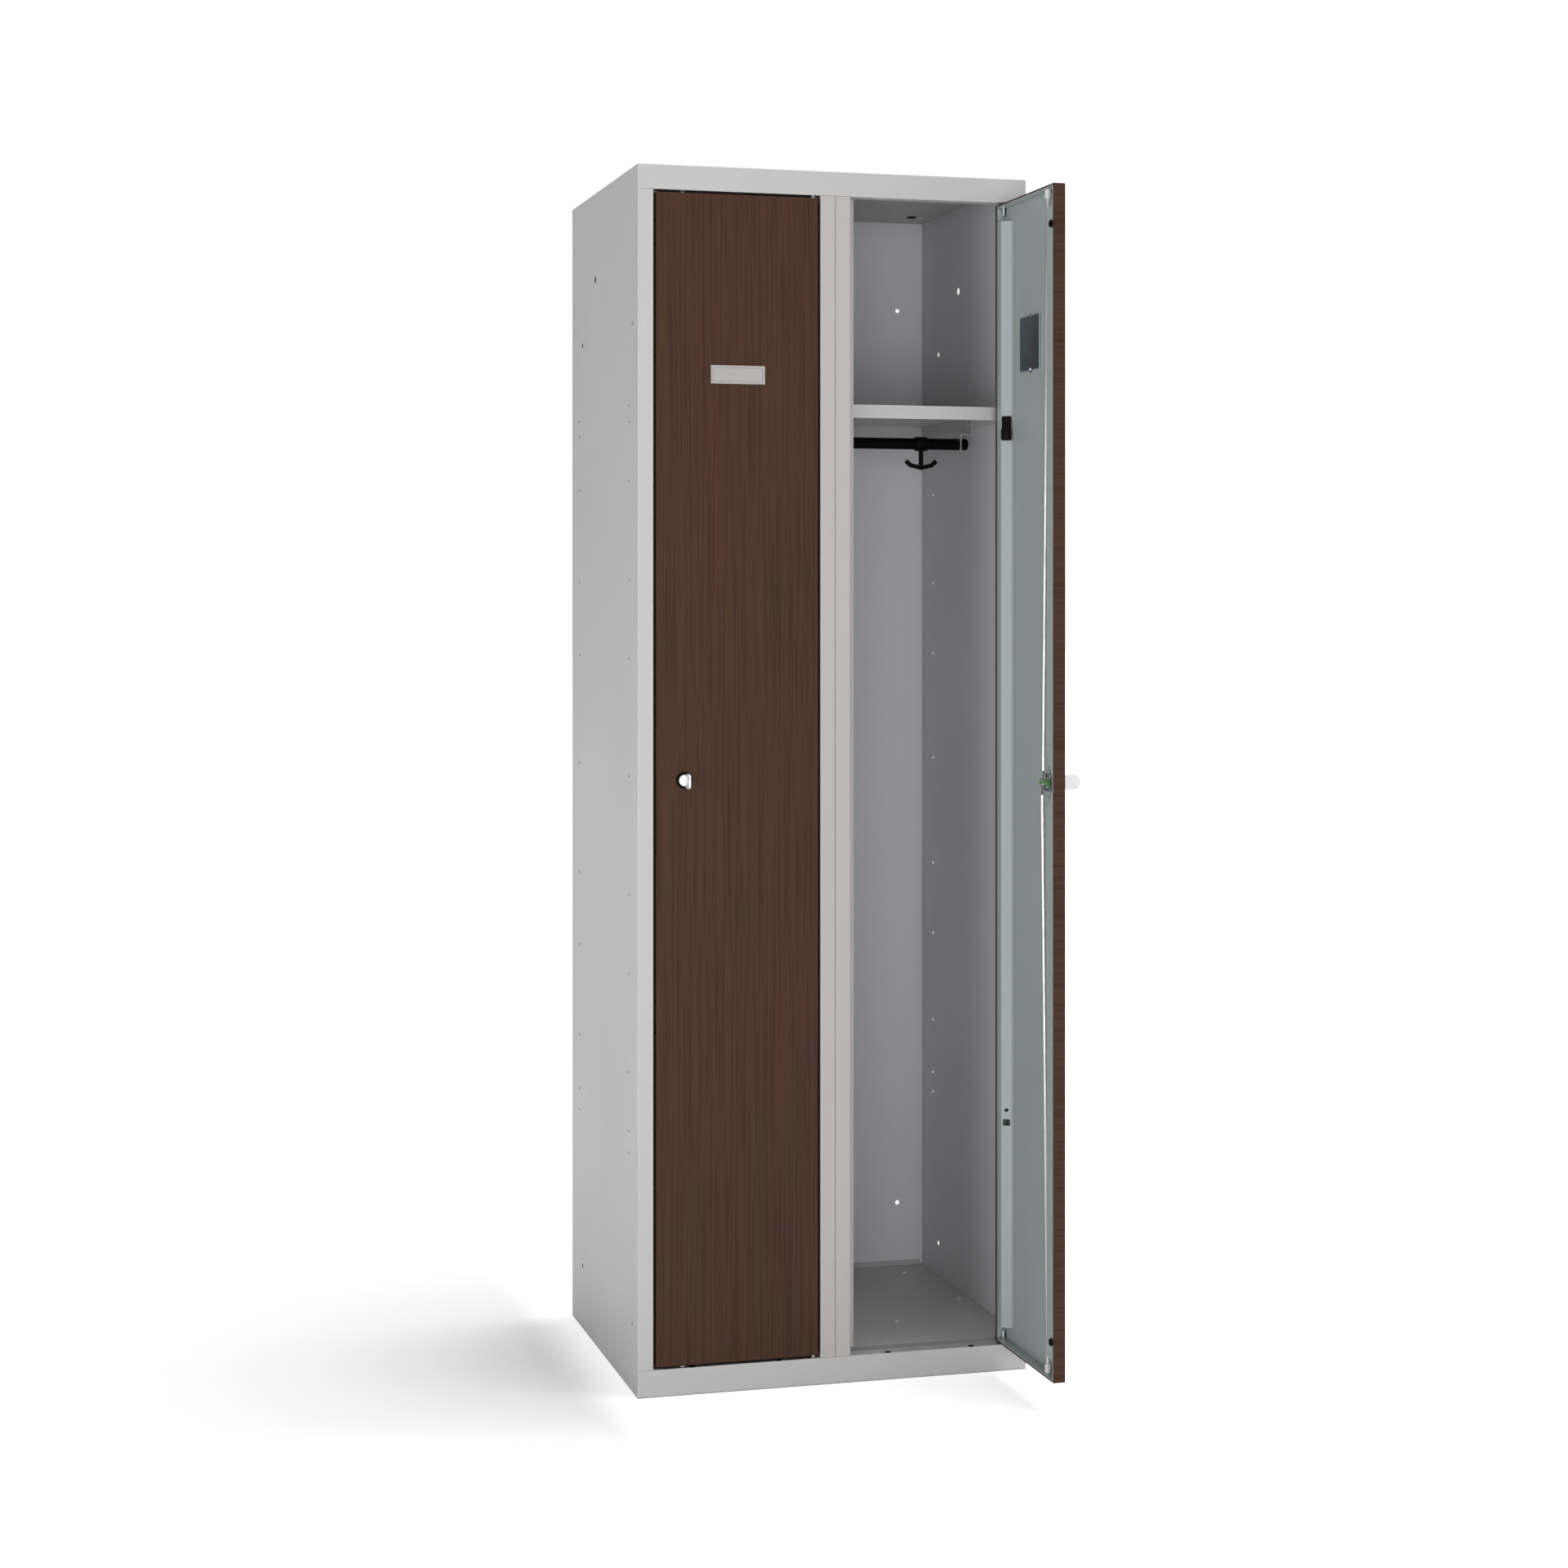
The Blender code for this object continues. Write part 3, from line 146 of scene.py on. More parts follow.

# %% [markdown]
# ## Powder coat
# Locker steel is sprayed with dry paint powder and baked. The skin flows out nearly flat but keeps a faint
# orange peel, and its gloss drifts a little from place to place. The group mixes a wide soft noise for the
# drift of tone and gloss with a fine one for the peel, which only bends the normal. It also paints shade into
# narrow gaps: where ambient occlusion over a few millimetres finds a gap, the colour turns near black.

# %% The powder coat group
coat_group, coat_in, coat_out = new_group(
    "powder_coat_skin",
    [("Paint", "Color", rgb(0.5, 0.5, 0.5)), ("Shade", "Color", rgb(0.4, 0.4, 0.4)),
     ("Drift Scale", "Float", 3.0), ("Peel Scale", "Float", 900.0), ("Peel Depth", "Float", 0.00003),
     ("Gloss Low", "Float", 0.38), ("Gloss High", "Float", 0.5),
     ("Gap Shade", "Color", rgb(0.01, 0.01, 0.01)), ("Gap Reach", "Float", 0.007)],
    [("Color", "Color"), ("Roughness", "Float"), ("Normal", "Vector")],
)


def fill_coat_group(tree, entry, leave):
    # Painted shade: the colour is mixed towards near black where a narrow gap lies close by.
    gap_occlusion = add_node(tree, "AmbientOcclusion", samples=6)
    wire(tree, entry, "Gap Reach", gap_occlusion, "Distance")
    open_face = add_node(tree, "MapRange", {"From Min": 0.3, "From Max": 0.62})
    wire(tree, gap_occlusion, "AO", open_face, "Value")
    place = add_node(tree, "TexCoord")
    drift = add_node(tree, "TexNoise", {"Detail": 4.0, "Roughness": 0.6})
    wire(tree, place, "Object", drift, "Vector")
    wire(tree, entry, "Drift Scale", drift, "Scale")
    tone = add_node(tree, "Mix", data_type="RGBA")
    wire(tree, drift, "Fac", tone, "Factor")
    wire(tree, entry, "Shade", tone, "A")
    wire(tree, entry, "Paint", tone, "B")
    gloss = add_node(tree, "MapRange", {"From Min": 0.3, "From Max": 0.7})
    wire(tree, drift, "Fac", gloss, "Value")
    wire(tree, entry, "Gloss Low", gloss, "To Min")
    wire(tree, entry, "Gloss High", gloss, "To Max")
    peel = add_node(tree, "TexNoise", {"Detail": 2.0, "Roughness": 0.5})
    wire(tree, place, "Object", peel, "Vector")
    wire(tree, entry, "Peel Scale", peel, "Scale")
    bump = add_node(tree, "Bump", {"Strength": 0.6})
    wire(tree, entry, "Peel Depth", bump, "Distance")
    wire(tree, peel, "Fac", bump, "Height")
    seen = add_node(tree, "Mix", data_type="RGBA")
    wire(tree, open_face, "Result", seen, "Factor")
    wire(tree, entry, "Gap Shade", seen, "A")
    wire(tree, tone, "Result", seen, "B")
    wire(tree, seen, "Result", leave, "Color")
    wire(tree, gloss, "Result", leave, "Roughness")
    wire(tree, bump, "Normal", leave, "Normal")


fill_coat_group(coat_group, coat_in, coat_out)
print("powder coat group with", len(coat_group.nodes), "nodes")

# %% [markdown]
# ## Edge light
# Folded edges get a painted highlight: the paint is mixed towards a lighter tone near them. A Bevel
# node rounds the normal near an edge; how far that rounded normal leans from the true one tells how near
# the edge is. The group turns that lean into a mask.

# %% The folded edge group
edge_highlight_group, edge_in, edge_out = new_group(
    "folded_edge_highlight", [("Width", "Float", 0.002), ("Amount", "Float", 1.0)], [("Mask", "Float")]
)


def fill_edge_highlight_group(tree, entry, leave):
    rounded = add_node(tree, "Bevel", samples=4)
    wire(tree, entry, "Width", rounded, "Radius")
    shape = add_node(tree, "NewGeometry")
    lean = add_node(tree, "VectorMath", operation="DOT_PRODUCT")
    tree.links.new(rounded.outputs["Normal"], lean.inputs[0])
    tree.links.new(shape.outputs["True Normal"], lean.inputs[1])
    mask = add_node(tree, "MapRange", {"From Min": 0.995, "From Max": 0.85, "To Min": 0.0})
    tree.links.new(lean.outputs["Value"], mask.inputs["Value"])
    wire(tree, entry, "Amount", mask, "To Max")
    wire(tree, mask, "Result", leave, "Mask")


fill_edge_highlight_group(edge_highlight_group, edge_in, edge_out)
print("edge group with", len(edge_highlight_group.nodes), "nodes")

# %% [markdown]
# ## Painted steel
# The cabinet is light grey and the inner sheets of the doors are a cooler grey. Both are the same paint
# process, so both materials place the same two groups and differ only in their values.

# %% Paint materials
def paint_material(name, paint, shade, edge, gloss=(0.4, 0.52), shine=0.45, peel=0.00003):
    made, shader = blank_material(name, Specular_IOR_Level=shine)
    tree = made.node_tree
    coat = use_group(tree, coat_group, {
        "Paint": paint, "Shade": shade, "Gloss Low": gloss[0], "Gloss High": gloss[1], "Peel Depth": peel,
    })
    fold = use_group(tree, edge_highlight_group)
    # Painted highlight: the paint turns to the lighter edge tone along folded edges.
    mix = add_node(tree, "Mix", {"B": edge}, data_type="RGBA")
    wire(tree, fold, "Mask", mix, "Factor")
    wire(tree, coat, "Color", mix, "A")
    wire(tree, mix, "Result", shader, "Base Color")
    wire(tree, coat, "Roughness", shader, "Roughness")
    wire(tree, coat, "Normal", shader, "Normal")
    return made


light_grey = paint_material(
    "light_grey_coat", rgb(0.500, 0.496, 0.494), rgb(0.478, 0.474, 0.472), rgb(0.62, 0.62, 0.61))
post_grey = paint_material(
    "centre_post_coat", rgb(0.460, 0.440, 0.434), rgb(0.440, 0.421, 0.415), rgb(0.56, 0.545, 0.54))
inner_grey = paint_material(
    "door_inner_coat", rgb(0.355, 0.405, 0.40), rgb(0.33, 0.38, 0.375), rgb(0.45, 0.49, 0.485))
black_coat = paint_material(
    "black_coat", rgb(0.0015, 0.0015, 0.0015), rgb(0.001, 0.001, 0.001), rgb(0.003, 0.003, 0.003),
    (0.4, 0.5), 0.05)
print("paints:", light_grey.name, inner_grey.name, black_coat.name)

# %% [markdown]
# ## Tones by place
# Some sheets change tone from one face to another. The riser behind the plinth gets painted shade, the rims
# of the drilled holes are painted near black as shade, and the inner faces of the bay are painted paler as light.
# The door's inner pan shows the brown laminate where it turns over the hinge edge, painted darker as shade. A
# mask of place and facing picks out each of them, and the paint is mixed towards another tone there.

# %% Masked paints
# Painted shade on the riser behind the plinth.
RISER_PAINTED_SHADE = rgb(0.19, 0.19, 0.19)
# Painted shade: the rims of the drilled holes are near black.
HOLE_PAINTED_SHADE = rgb(0.01, 0.01, 0.01)
# Painted light: the inner faces of the bay are paler.
BAY_PAINTED_LIGHT = rgb(0.60, 0.605, 0.625)
# The brown laminate turned over the hinge edge, painted much darker than the laminate as shade.
TURNOVER_SHADED_TONE = rgb(0.022, 0.013, 0.008)


def spotted_paint(name, paint, tone, *ramps):
    """A copy of a paint with a tone where all ramps agree. A ramp is (coordinate, axis, none at, full at)."""
    made = paint.copy()
    made.name = name
    tree = made.node_tree
    shader = next(node for node in tree.nodes if node.type == "BSDF_PRINCIPLED")
    painted = shader.inputs["Base Color"].links[0].from_socket
    coordinate = add_node(tree, "TexCoord")
    mask = None
    for source, axis, none_at, full_at in ramps:
        parts = add_node(tree, "SeparateXYZ")
        tree.links.new(coordinate.outputs[source], parts.inputs["Vector"])
        rise = add_node(tree, "MapRange", {"From Min": none_at, "From Max": full_at})
        wire(tree, parts, axis, rise, "Value")
        if mask is None:
            mask = rise.outputs["Result"]
        else:
            both = add_node(tree, "Math", operation="MULTIPLY")
            tree.links.new(mask, both.inputs[0])
            tree.links.new(rise.outputs["Result"], both.inputs[1])
            mask = both.outputs["Value"]
    mix = add_node(tree, "Mix", {"B": tone}, data_type="RGBA")
    tree.links.new(mask, pick(mix.inputs, "Factor"))
    tree.links.new(painted, pick(mix.inputs, "A"))
    wire(tree, mix, "Result", shader, "Base Color")
    return made


BEHIND_STILE = ("Object", "Y", -0.206, -0.204)
FACING_FRONT = ("Normal", "Y", -0.3, -0.7)
FACING_LEFT = ("Normal", "X", -0.3, -0.7)
floor_shaded_grey = spotted_paint(
    "floor_panel_shaded_coat", light_grey, RISER_PAINTED_SHADE, ("Object", "Y", -0.246, -0.244), FACING_FRONT)
drilled_shaded_grey = spotted_paint(
    "drilled_wall_shaded_coat", light_grey, HOLE_PAINTED_SHADE, BEHIND_STILE, ("Object", "Y", 0.236, 0.234),
    ("Object", "X", -0.2990, -0.2993), ("Normal", "X", -0.7, -0.3))
right_wall_lit_grey = spotted_paint("right_wall_lit_coat", light_grey, BAY_PAINTED_LIGHT, BEHIND_STILE, FACING_LEFT)
rear_lit_grey = spotted_paint("rear_wall_lit_coat", light_grey, BAY_PAINTED_LIGHT, BEHIND_STILE, FACING_FRONT)
hinge_edge_shaded_greys = {
    "right_door_liner": spotted_paint(
        "right_liner_coat", inner_grey, TURNOVER_SHADED_TONE, ("Object", "X", 0.2585, 0.2575), FACING_FRONT),
    "right_door_stiffener": spotted_paint(
        "right_stiffener_coat", inner_grey, TURNOVER_SHADED_TONE, ("Object", "Y", -0.2468, -0.2462), FACING_LEFT),
    "left_door_stiffener": spotted_paint(
        "left_stiffener_coat", inner_grey, TURNOVER_SHADED_TONE, ("Object", "X", -0.0368, -0.0362),
        ("Normal", "Y", 0.3, 0.7)),
}
print("masked paints:", floor_shaded_grey.name, drilled_shaded_grey.name, right_wall_lit_grey.name, rear_lit_grey.name)

# %% [markdown]
# ## Wood-look laminate
# The door fronts are steel pans with a dark brown laminate. Its print runs upright: wide bands drift between
# a reddish and an olive brown, and over them lie dark streaks and hair-fine pores. Each of these is a noise
# whose scale is high across the door and low along it, so the spots draw out into lines. On the edges the
# strip is glued the other way round, and the same noises are stretched sideways there. A normal measured in
# the object's own space tells edge from front, so the grain stays put when a door swings.

# %% The laminate group
# Scale of each layer across and along the grain
BAND_STRETCH = (80.0, 1.2)
STREAK_STRETCH = (260.0, 3.0)
PORE_STRETCH = (620.0, 9.0)
LONG_GRAIN = {"Scale": 1.0, "Detail": 6.0, "Roughness": 0.7}
BAND_GRAIN = {**LONG_GRAIN, "Distortion": 0.3}
PORE_GRAIN = {"Scale": 1.0, "Detail": 3.0, "Roughness": 0.7}
STREAK_SHARE = 0.6
PORE_SHARE = 0.35

laminate_group, laminate_in, laminate_out = new_group(
    "brown_laminate",
    [("Front Axis", "Vector", (0.0, 1.0, 0.0)), ("Shift", "Vector", (0.0, 0.0, 0.0)),
     ("Reddish", "Color", rgb(0.06, 0.03, 0.02)), ("Olive", "Color", rgb(0.06, 0.04, 0.02)),
     ("Streak", "Color", rgb(0.02, 0.01, 0.01)), ("Edge Warmth", "Color", rgb(0.08, 0.04, 0.02))],
    [("Color", "Color"), ("Roughness", "Float"), ("Height", "Float")],
)


def grain_layer(tree, place, stretch, values, low, high):
    """Noise drawn out along the grain, then spread to a mask between low and high."""
    scaled = add_node(tree, "VectorMath", operation="MULTIPLY")
    tree.links.new(place, scaled.inputs[0])
    tree.links.new(stretch, scaled.inputs[1])
    noise = add_node(tree, "TexNoise", values)
    wire(tree, scaled, "Vector", noise, "Vector")
    mask = add_node(tree, "MapRange", {"From Min": low, "From Max": high}, interpolation_type="SMOOTHSTEP")
    wire(tree, noise, "Fac", mask, "Value")
    return mask


def fill_laminate_group(tree, entry, leave):
    coordinate = add_node(tree, "TexCoord")
    facing = add_node(tree, "VectorMath", operation="DOT_PRODUCT")
    tree.links.new(coordinate.outputs["Normal"], facing.inputs[0])
    tree.links.new(entry.outputs["Front Axis"], facing.inputs[1])
    size = add_node(tree, "Math", operation="ABSOLUTE")
    tree.links.new(facing.outputs["Value"], size.inputs[0])
    edge = add_node(tree, "MapRange", {"From Min": 0.6, "From Max": 0.4})
    wire(tree, size, "Value", edge, "Value")
    place = add_node(tree, "VectorMath", operation="ADD")
    tree.links.new(coordinate.outputs["Object"], place.inputs[0])
    tree.links.new(entry.outputs["Shift"], place.inputs[1])

    def stretch(across, along):
        """Upright stretch on the fronts, and sideways stretch on the edges."""
        mix = add_node(tree, "Mix", {"A": (across, across, along), "B": (along, along, across)}, data_type="VECTOR")
        wire(tree, edge, "Result", mix, "Factor")
        return pick(mix.outputs, "Result")

    spot = place.outputs["Vector"]
    bands = grain_layer(tree, spot, stretch(*BAND_STRETCH), BAND_GRAIN, 0.34, 0.66)
    streaks = grain_layer(tree, spot, stretch(*STREAK_STRETCH), LONG_GRAIN, 0.42, 0.68)
    pores = grain_layer(tree, spot, stretch(*PORE_STRETCH), PORE_GRAIN, 0.50, 0.72)
    wide = add_node(tree, "Mix", data_type="RGBA")
    wire(tree, bands, "Result", wide, "Factor")
    wire(tree, entry, "Reddish", wide, "A")
    wire(tree, entry, "Olive", wide, "B")
    warm = add_node(tree, "Mix", data_type="RGBA")
    wire(tree, edge, "Result", warm, "Factor")
    wire(tree, wide, "Result", warm, "A")
    wire(tree, entry, "Edge Warmth", warm, "B")
    dark = add_node(tree, "Math", operation="MULTIPLY_ADD")
    dark.inputs[1].default_value = STREAK_SHARE
    wire(tree, streaks, "Result", dark, "Value")
    fine = add_node(tree, "Math", operation="MULTIPLY")
    fine.inputs[1].default_value = PORE_SHARE
    tree.links.new(pores.outputs["Result"], fine.inputs[0])
    tree.links.new(fine.outputs["Value"], dark.inputs[2])
    dark.use_clamp = True
    colour = add_node(tree, "Mix", data_type="RGBA")
    wire(tree, dark, "Value", colour, "Factor")
    wire(tree, warm, "Result", colour, "A")
    wire(tree, entry, "Streak", colour, "B")
    rough = add_node(tree, "MapRange", {"To Min": 0.46, "To Max": 0.6})
    wire(tree, dark, "Value", rough, "Value")
    height = add_node(tree, "Math", operation="MULTIPLY")
    height.inputs[1].default_value = -1.0
    tree.links.new(dark.outputs["Value"], height.inputs[0])
    wire(tree, colour, "Result", leave, "Color")
    wire(tree, rough, "Result", leave, "Roughness")
    wire(tree, height, "Value", leave, "Height")


fill_laminate_group(laminate_group, laminate_in, laminate_out)
print("laminate group with", len(laminate_group.nodes), "nodes")

# %% Laminate for each door
REDDISH = rgb(0.074, 0.0325, 0.0230)
OLIVE = rgb(0.066, 0.0340, 0.0180)
STREAK = rgb(0.025, 0.0110, 0.0080)
EDGE_WARMTH = rgb(0.068, 0.0325, 0.0205)
PORE_DEPTH = 0.00005


def laminate(name, front_axis, shift):
    made, shader = blank_material(name, Specular_IOR_Level=0.1)
    tree = made.node_tree
    wood = use_group(tree, laminate_group, {
        "Front Axis": front_axis, "Shift": shift, "Reddish": REDDISH, "Olive": OLIVE,
        "Streak": STREAK, "Edge Warmth": EDGE_WARMTH,
    })
    bump = add_node(tree, "Bump", {"Strength": 0.5, "Distance": PORE_DEPTH})
    wire(tree, wood, "Height", bump, "Height")
    wire(tree, wood, "Color", shader, "Base Color")
    wire(tree, wood, "Roughness", shader, "Roughness")
    wire(tree, bump, "Normal", shader, "Normal")
    return made


wood_looks = {
    "left": laminate("left_brown_laminate", (0.0, 1.0, 0.0), (0.0, 0.0, 0.0)),
    "right": laminate("right_brown_laminate", (1.0, 0.0, 0.0), (0.37, 0.0, 0.8)),
}
print("laminates:", [look.name for look in wood_looks.values()])

# %% [markdown]
# ## Plated metal
# The lock and hinge parts are plated steel. Plate is never a perfect mirror: drawing and polishing leave fine
# lines along the part, and handling leaves patches that scatter more light. One group serves the bright
# nickel of the hinge pins and clips, the satin knobs, and the duller zinc of the rods and brackets.

# %% The plated metal group
plate_group, plate_in, plate_out = new_group(
    "plated_metal",
    [("Bright", "Color", rgb(0.8, 0.8, 0.8)), ("Dull", "Color", rgb(0.6, 0.6, 0.6)),
     ("Patch Scale", "Float", 60.0), ("Line Stretch", "Vector", (2000.0, 2000.0, 40.0)),
     ("Line Depth", "Float", 0.00001), ("Smooth", "Float", 0.15), ("Rough", "Float", 0.3)],
    [("Color", "Color"), ("Roughness", "Float"), ("Normal", "Vector")],
)


def fill_plate_group(tree, entry, leave):
    coordinate = add_node(tree, "TexCoord")
    patches = add_node(tree, "TexNoise", {"Detail": 3.0, "Roughness": 0.55})
    wire(tree, coordinate, "Object", patches, "Vector")
    wire(tree, entry, "Patch Scale", patches, "Scale")
    tone = add_node(tree, "Mix", data_type="RGBA")
    wire(tree, patches, "Fac", tone, "Factor")
    wire(tree, entry, "Bright", tone, "A")
    wire(tree, entry, "Dull", tone, "B")
    rough = add_node(tree, "MapRange", {"From Min": 0.35, "From Max": 0.65})
    wire(tree, patches, "Fac", rough, "Value")
    wire(tree, entry, "Smooth", rough, "To Min")
    wire(tree, entry, "Rough", rough, "To Max")
    stretched = add_node(tree, "VectorMath", operation="MULTIPLY")
    tree.links.new(coordinate.outputs["Object"], stretched.inputs[0])
    tree.links.new(entry.outputs["Line Stretch"], stretched.inputs[1])
    lines = add_node(tree, "TexNoise", {"Scale": 1.0, "Detail": 2.0})
    wire(tree, stretched, "Vector", lines, "Vector")
    bump = add_node(tree, "Bump", {"Strength": 0.4})
    wire(tree, entry, "Line Depth", bump, "Distance")
    wire(tree, lines, "Fac", bump, "Height")
    wire(tree, tone, "Result", leave, "Color")
    wire(tree, rough, "Result", leave, "Roughness")
    wire(tree, bump, "Normal", leave, "Normal")


fill_plate_group(plate_group, plate_in, plate_out)


def plated(name, bright, dull, smooth, rough, metal_share=1.0):
    made, shader = blank_material(name, Metallic=metal_share)
    tree = made.node_tree
    metal = use_group(tree, plate_group, {"Bright": bright, "Dull": dull, "Smooth": smooth, "Rough": rough})
    wire_skin(tree, metal, shader)
    return made


nickel = plated("bright_nickel", rgb(0.86, 0.86, 0.87), rgb(0.72, 0.72, 0.74), 0.10, 0.2)
satin = plated("satin_nickel", rgb(0.93, 0.93, 0.94), rgb(0.84, 0.84, 0.86), 0.25, 0.38, 0.35)
zinc = plated("zinc_plate", rgb(0.74, 0.75, 0.75), rgb(0.56, 0.57, 0.57), 0.28, 0.42)
dark_zinc = plated("lock_case_zinc", rgb(0.46, 0.48, 0.47), rgb(0.34, 0.36, 0.35), 0.3, 0.45)
print("plates:", nickel.name, zinc.name, dark_zinc.name)

# %% [markdown]
# ## Moulded plastic and rubber
# The rosette, roof plug, hooks, rod guides and crank are moulded. A moulding tool is spark-eroded, which
# leaves an even, very fine pebble that takes the shine off. The group makes that pebble from small cells, and
# a wide noise lets the gloss drift where the plastic has been touched.

# %% The moulded plastic group
mould_group, mould_in, mould_out = new_group(
    "moulded_plastic",
    [("Body", "Color", rgb(0.01, 0.01, 0.01)), ("Worn", "Color", rgb(0.03, 0.03, 0.03)),
     ("Pebble Scale", "Float", 1800.0), ("Pebble Depth", "Float", 0.00002),
     ("Smooth", "Float", 0.35), ("Rough", "Float", 0.55)],
    [("Color", "Color"), ("Roughness", "Float"), ("Normal", "Vector")],
)


def fill_mould_group(tree, entry, leave):
    coordinate = add_node(tree, "TexCoord")
    touch = add_node(tree, "TexNoise", {"Scale": 45.0, "Detail": 3.0})
    wire(tree, coordinate, "Object", touch, "Vector")
    worn = add_node(tree, "MapRange", {"From Min": 0.45, "From Max": 0.75, "To Max": 0.6})
    wire(tree, touch, "Fac", worn, "Value")
    tone = add_node(tree, "Mix", data_type="RGBA")
    wire(tree, worn, "Result", tone, "Factor")
    wire(tree, entry, "Body", tone, "A")
    wire(tree, entry, "Worn", tone, "B")
    rough = add_node(tree, "MapRange", {"From Min": 0.35, "From Max": 0.65})
    wire(tree, touch, "Fac", rough, "Value")
    wire(tree, entry, "Smooth", rough, "To Min")
    wire(tree, entry, "Rough", rough, "To Max")
    pebble = add_node(tree, "TexVoronoi", feature="SMOOTH_F1")
    wire(tree, coordinate, "Object", pebble, "Vector")
    wire(tree, entry, "Pebble Scale", pebble, "Scale")
    bump = add_node(tree, "Bump", {"Strength": 0.5})
    wire(tree, entry, "Pebble Depth", bump, "Distance")
    wire(tree, pebble, "Distance", bump, "Height")
    wire(tree, tone, "Result", leave, "Color")
    wire(tree, rough, "Result", leave, "Roughness")
    wire(tree, bump, "Normal", leave, "Normal")


fill_mould_group(mould_group, mould_in, mould_out)


def moulded(name, body, worn, smooth, rough, shine=0.4):
    made, shader = blank_material(name, Specular_IOR_Level=shine)
    tree = made.node_tree
    skin = use_group(tree, mould_group, {"Body": body, "Worn": worn, "Smooth": smooth, "Rough": rough})
    wire_skin(tree, skin, shader)
    return made


black_plastic = moulded("black_moulding", rgb(0.0015, 0.0015, 0.0015), rgb(0.004, 0.004, 0.004), 0.4, 0.55, 0.07)
rubber = moulded("buffer_rubber", rgb(0.002, 0.002, 0.002), rgb(0.005, 0.005, 0.005), 0.65, 0.85, 0.07)
green_plastic = moulded("green_moulding", rgb(0.055, 0.36, 0.025), rgb(0.08, 0.42, 0.04), 0.3, 0.45)
white_plastic = moulded("white_moulding", rgb(0.72, 0.73, 0.72), rgb(0.62, 0.62, 0.60), 0.35, 0.5)
card_plastic = moulded("card_holder_plastic", rgb(0.40, 0.39, 0.38), rgb(0.36, 0.35, 0.34), 0.3, 0.42)
paper = moulded("blank_card", rgb(0.395, 0.385, 0.378), rgb(0.37, 0.36, 0.352), 0.7, 0.85)
sealant = moulded("grey_sealant", rgb(0.40, 0.40, 0.41), rgb(0.37, 0.37, 0.38), 0.5, 0.65)
print("mouldings:", black_plastic.name, rubber.name, green_plastic.name, white_plastic.name)

# %% [markdown]
# ## Mirror
# A small square of silvered glass hangs in two clips inside each door. It is a near perfect metal in the
# shader's eyes; faint wipe marks in its roughness keep it from looking like a hole in the door.

# %% Mirror glass
def mirror_material():
    made, shader = blank_material("silvered_glass", Metallic=1.0)
    tree = made.node_tree
    coordinate = add_node(tree, "TexCoord")
    wipes = add_node(tree, "TexNoise", {"Scale": 55.0, "Detail": 4.0, "Distortion": 1.2})
    wire(tree, coordinate, "Object", wipes, "Vector")
    haze = add_node(tree, "MapRange", {"From Min": 0.4, "From Max": 0.75, "To Min": 0.02, "To Max": 0.09})
    wire(tree, wipes, "Fac", haze, "Value")
    tint = add_node(tree, "Mix", {"A": rgb(0.66, 0.78, 0.85), "B": rgb(0.60, 0.71, 0.78)}, data_type="RGBA")
    wire(tree, wipes, "Fac", tint, "Factor")
    wire(tree, tint, "Result", shader, "Base Color")
    wire(tree, haze, "Result", shader, "Roughness")
    return made


mirror_glass = mirror_material()
print("mirror material", mirror_glass.name)

# %% [markdown]
# ## Finishes on the steelwork
# The solids keep their shapes and places and only take a material each. The table goes by the end of the name,
# because the left and right doors are built from the same pieces.

# %% Hand out the finishes
FINISHES = {
    **hinge_edge_shaded_greys, "door_liner": inner_grey,
    "door_stiffener": inner_grey, "card_holder": card_plastic,
    "mirror": mirror_glass, "hanging_rod": black_coat, "coat_hook": black_plastic,
    "towel_hook": black_plastic, "roof_plug": black_plastic, "rosette": black_plastic,
    "buffer": rubber, "rod_guide": white_plastic, "lock_crank": green_plastic, "knob": nickel,
    "lock_case": dark_zinc, "hinge_pin": nickel, "lock_rod": zinc, "rod_bracket": zinc,
    "divider_panel": post_grey, "bottom_panel": floor_shaded_grey, "left_side_panel": drilled_shaded_grey,
    "right_side_panel": right_wall_lit_grey, "rear_panel": rear_lit_grey,
}


def finish_of(name):
    if name.endswith("door_skin"):
        return wood_looks[name.split("_")[0]]
    return next((look for ending, look in FINISHES.items() if name.endswith(ending)), light_grey)


for name, node in nodes.items():
    for socket in node.material_slots:
        socket.material = finish_of(name)
print("finishes on", len(nodes), "solids")

# %% [markdown]
# ## Small trim: screws
# A screw holds each crank to its lock spindle, and two rivets hold each rod bracket. A head is a short
# turned profile: rim, shoulder, dome. We spin a few points round an axis, which is quick and gives clean rings.

# %% Turned heads
RING_SIDES = 24
SHARP_ANGLE = 35
HEAD_SINK = 0.1
HEAD_CURVE = ((1.0, 0.45), (0.86, 0.74), (0.55, 0.93), (0.25, 1.0))


def mesh_of(shape, name):
    """The finished mesh of a bmesh, which is freed."""
    mesh = bpy.data.meshes.new(name)
    shape.to_mesh(mesh)
    shape.free()
    return mesh


def add_object(name, mesh):
    made = bpy.data.objects.new(name, mesh)
    bpy.context.collection.objects.link(made)
    return made


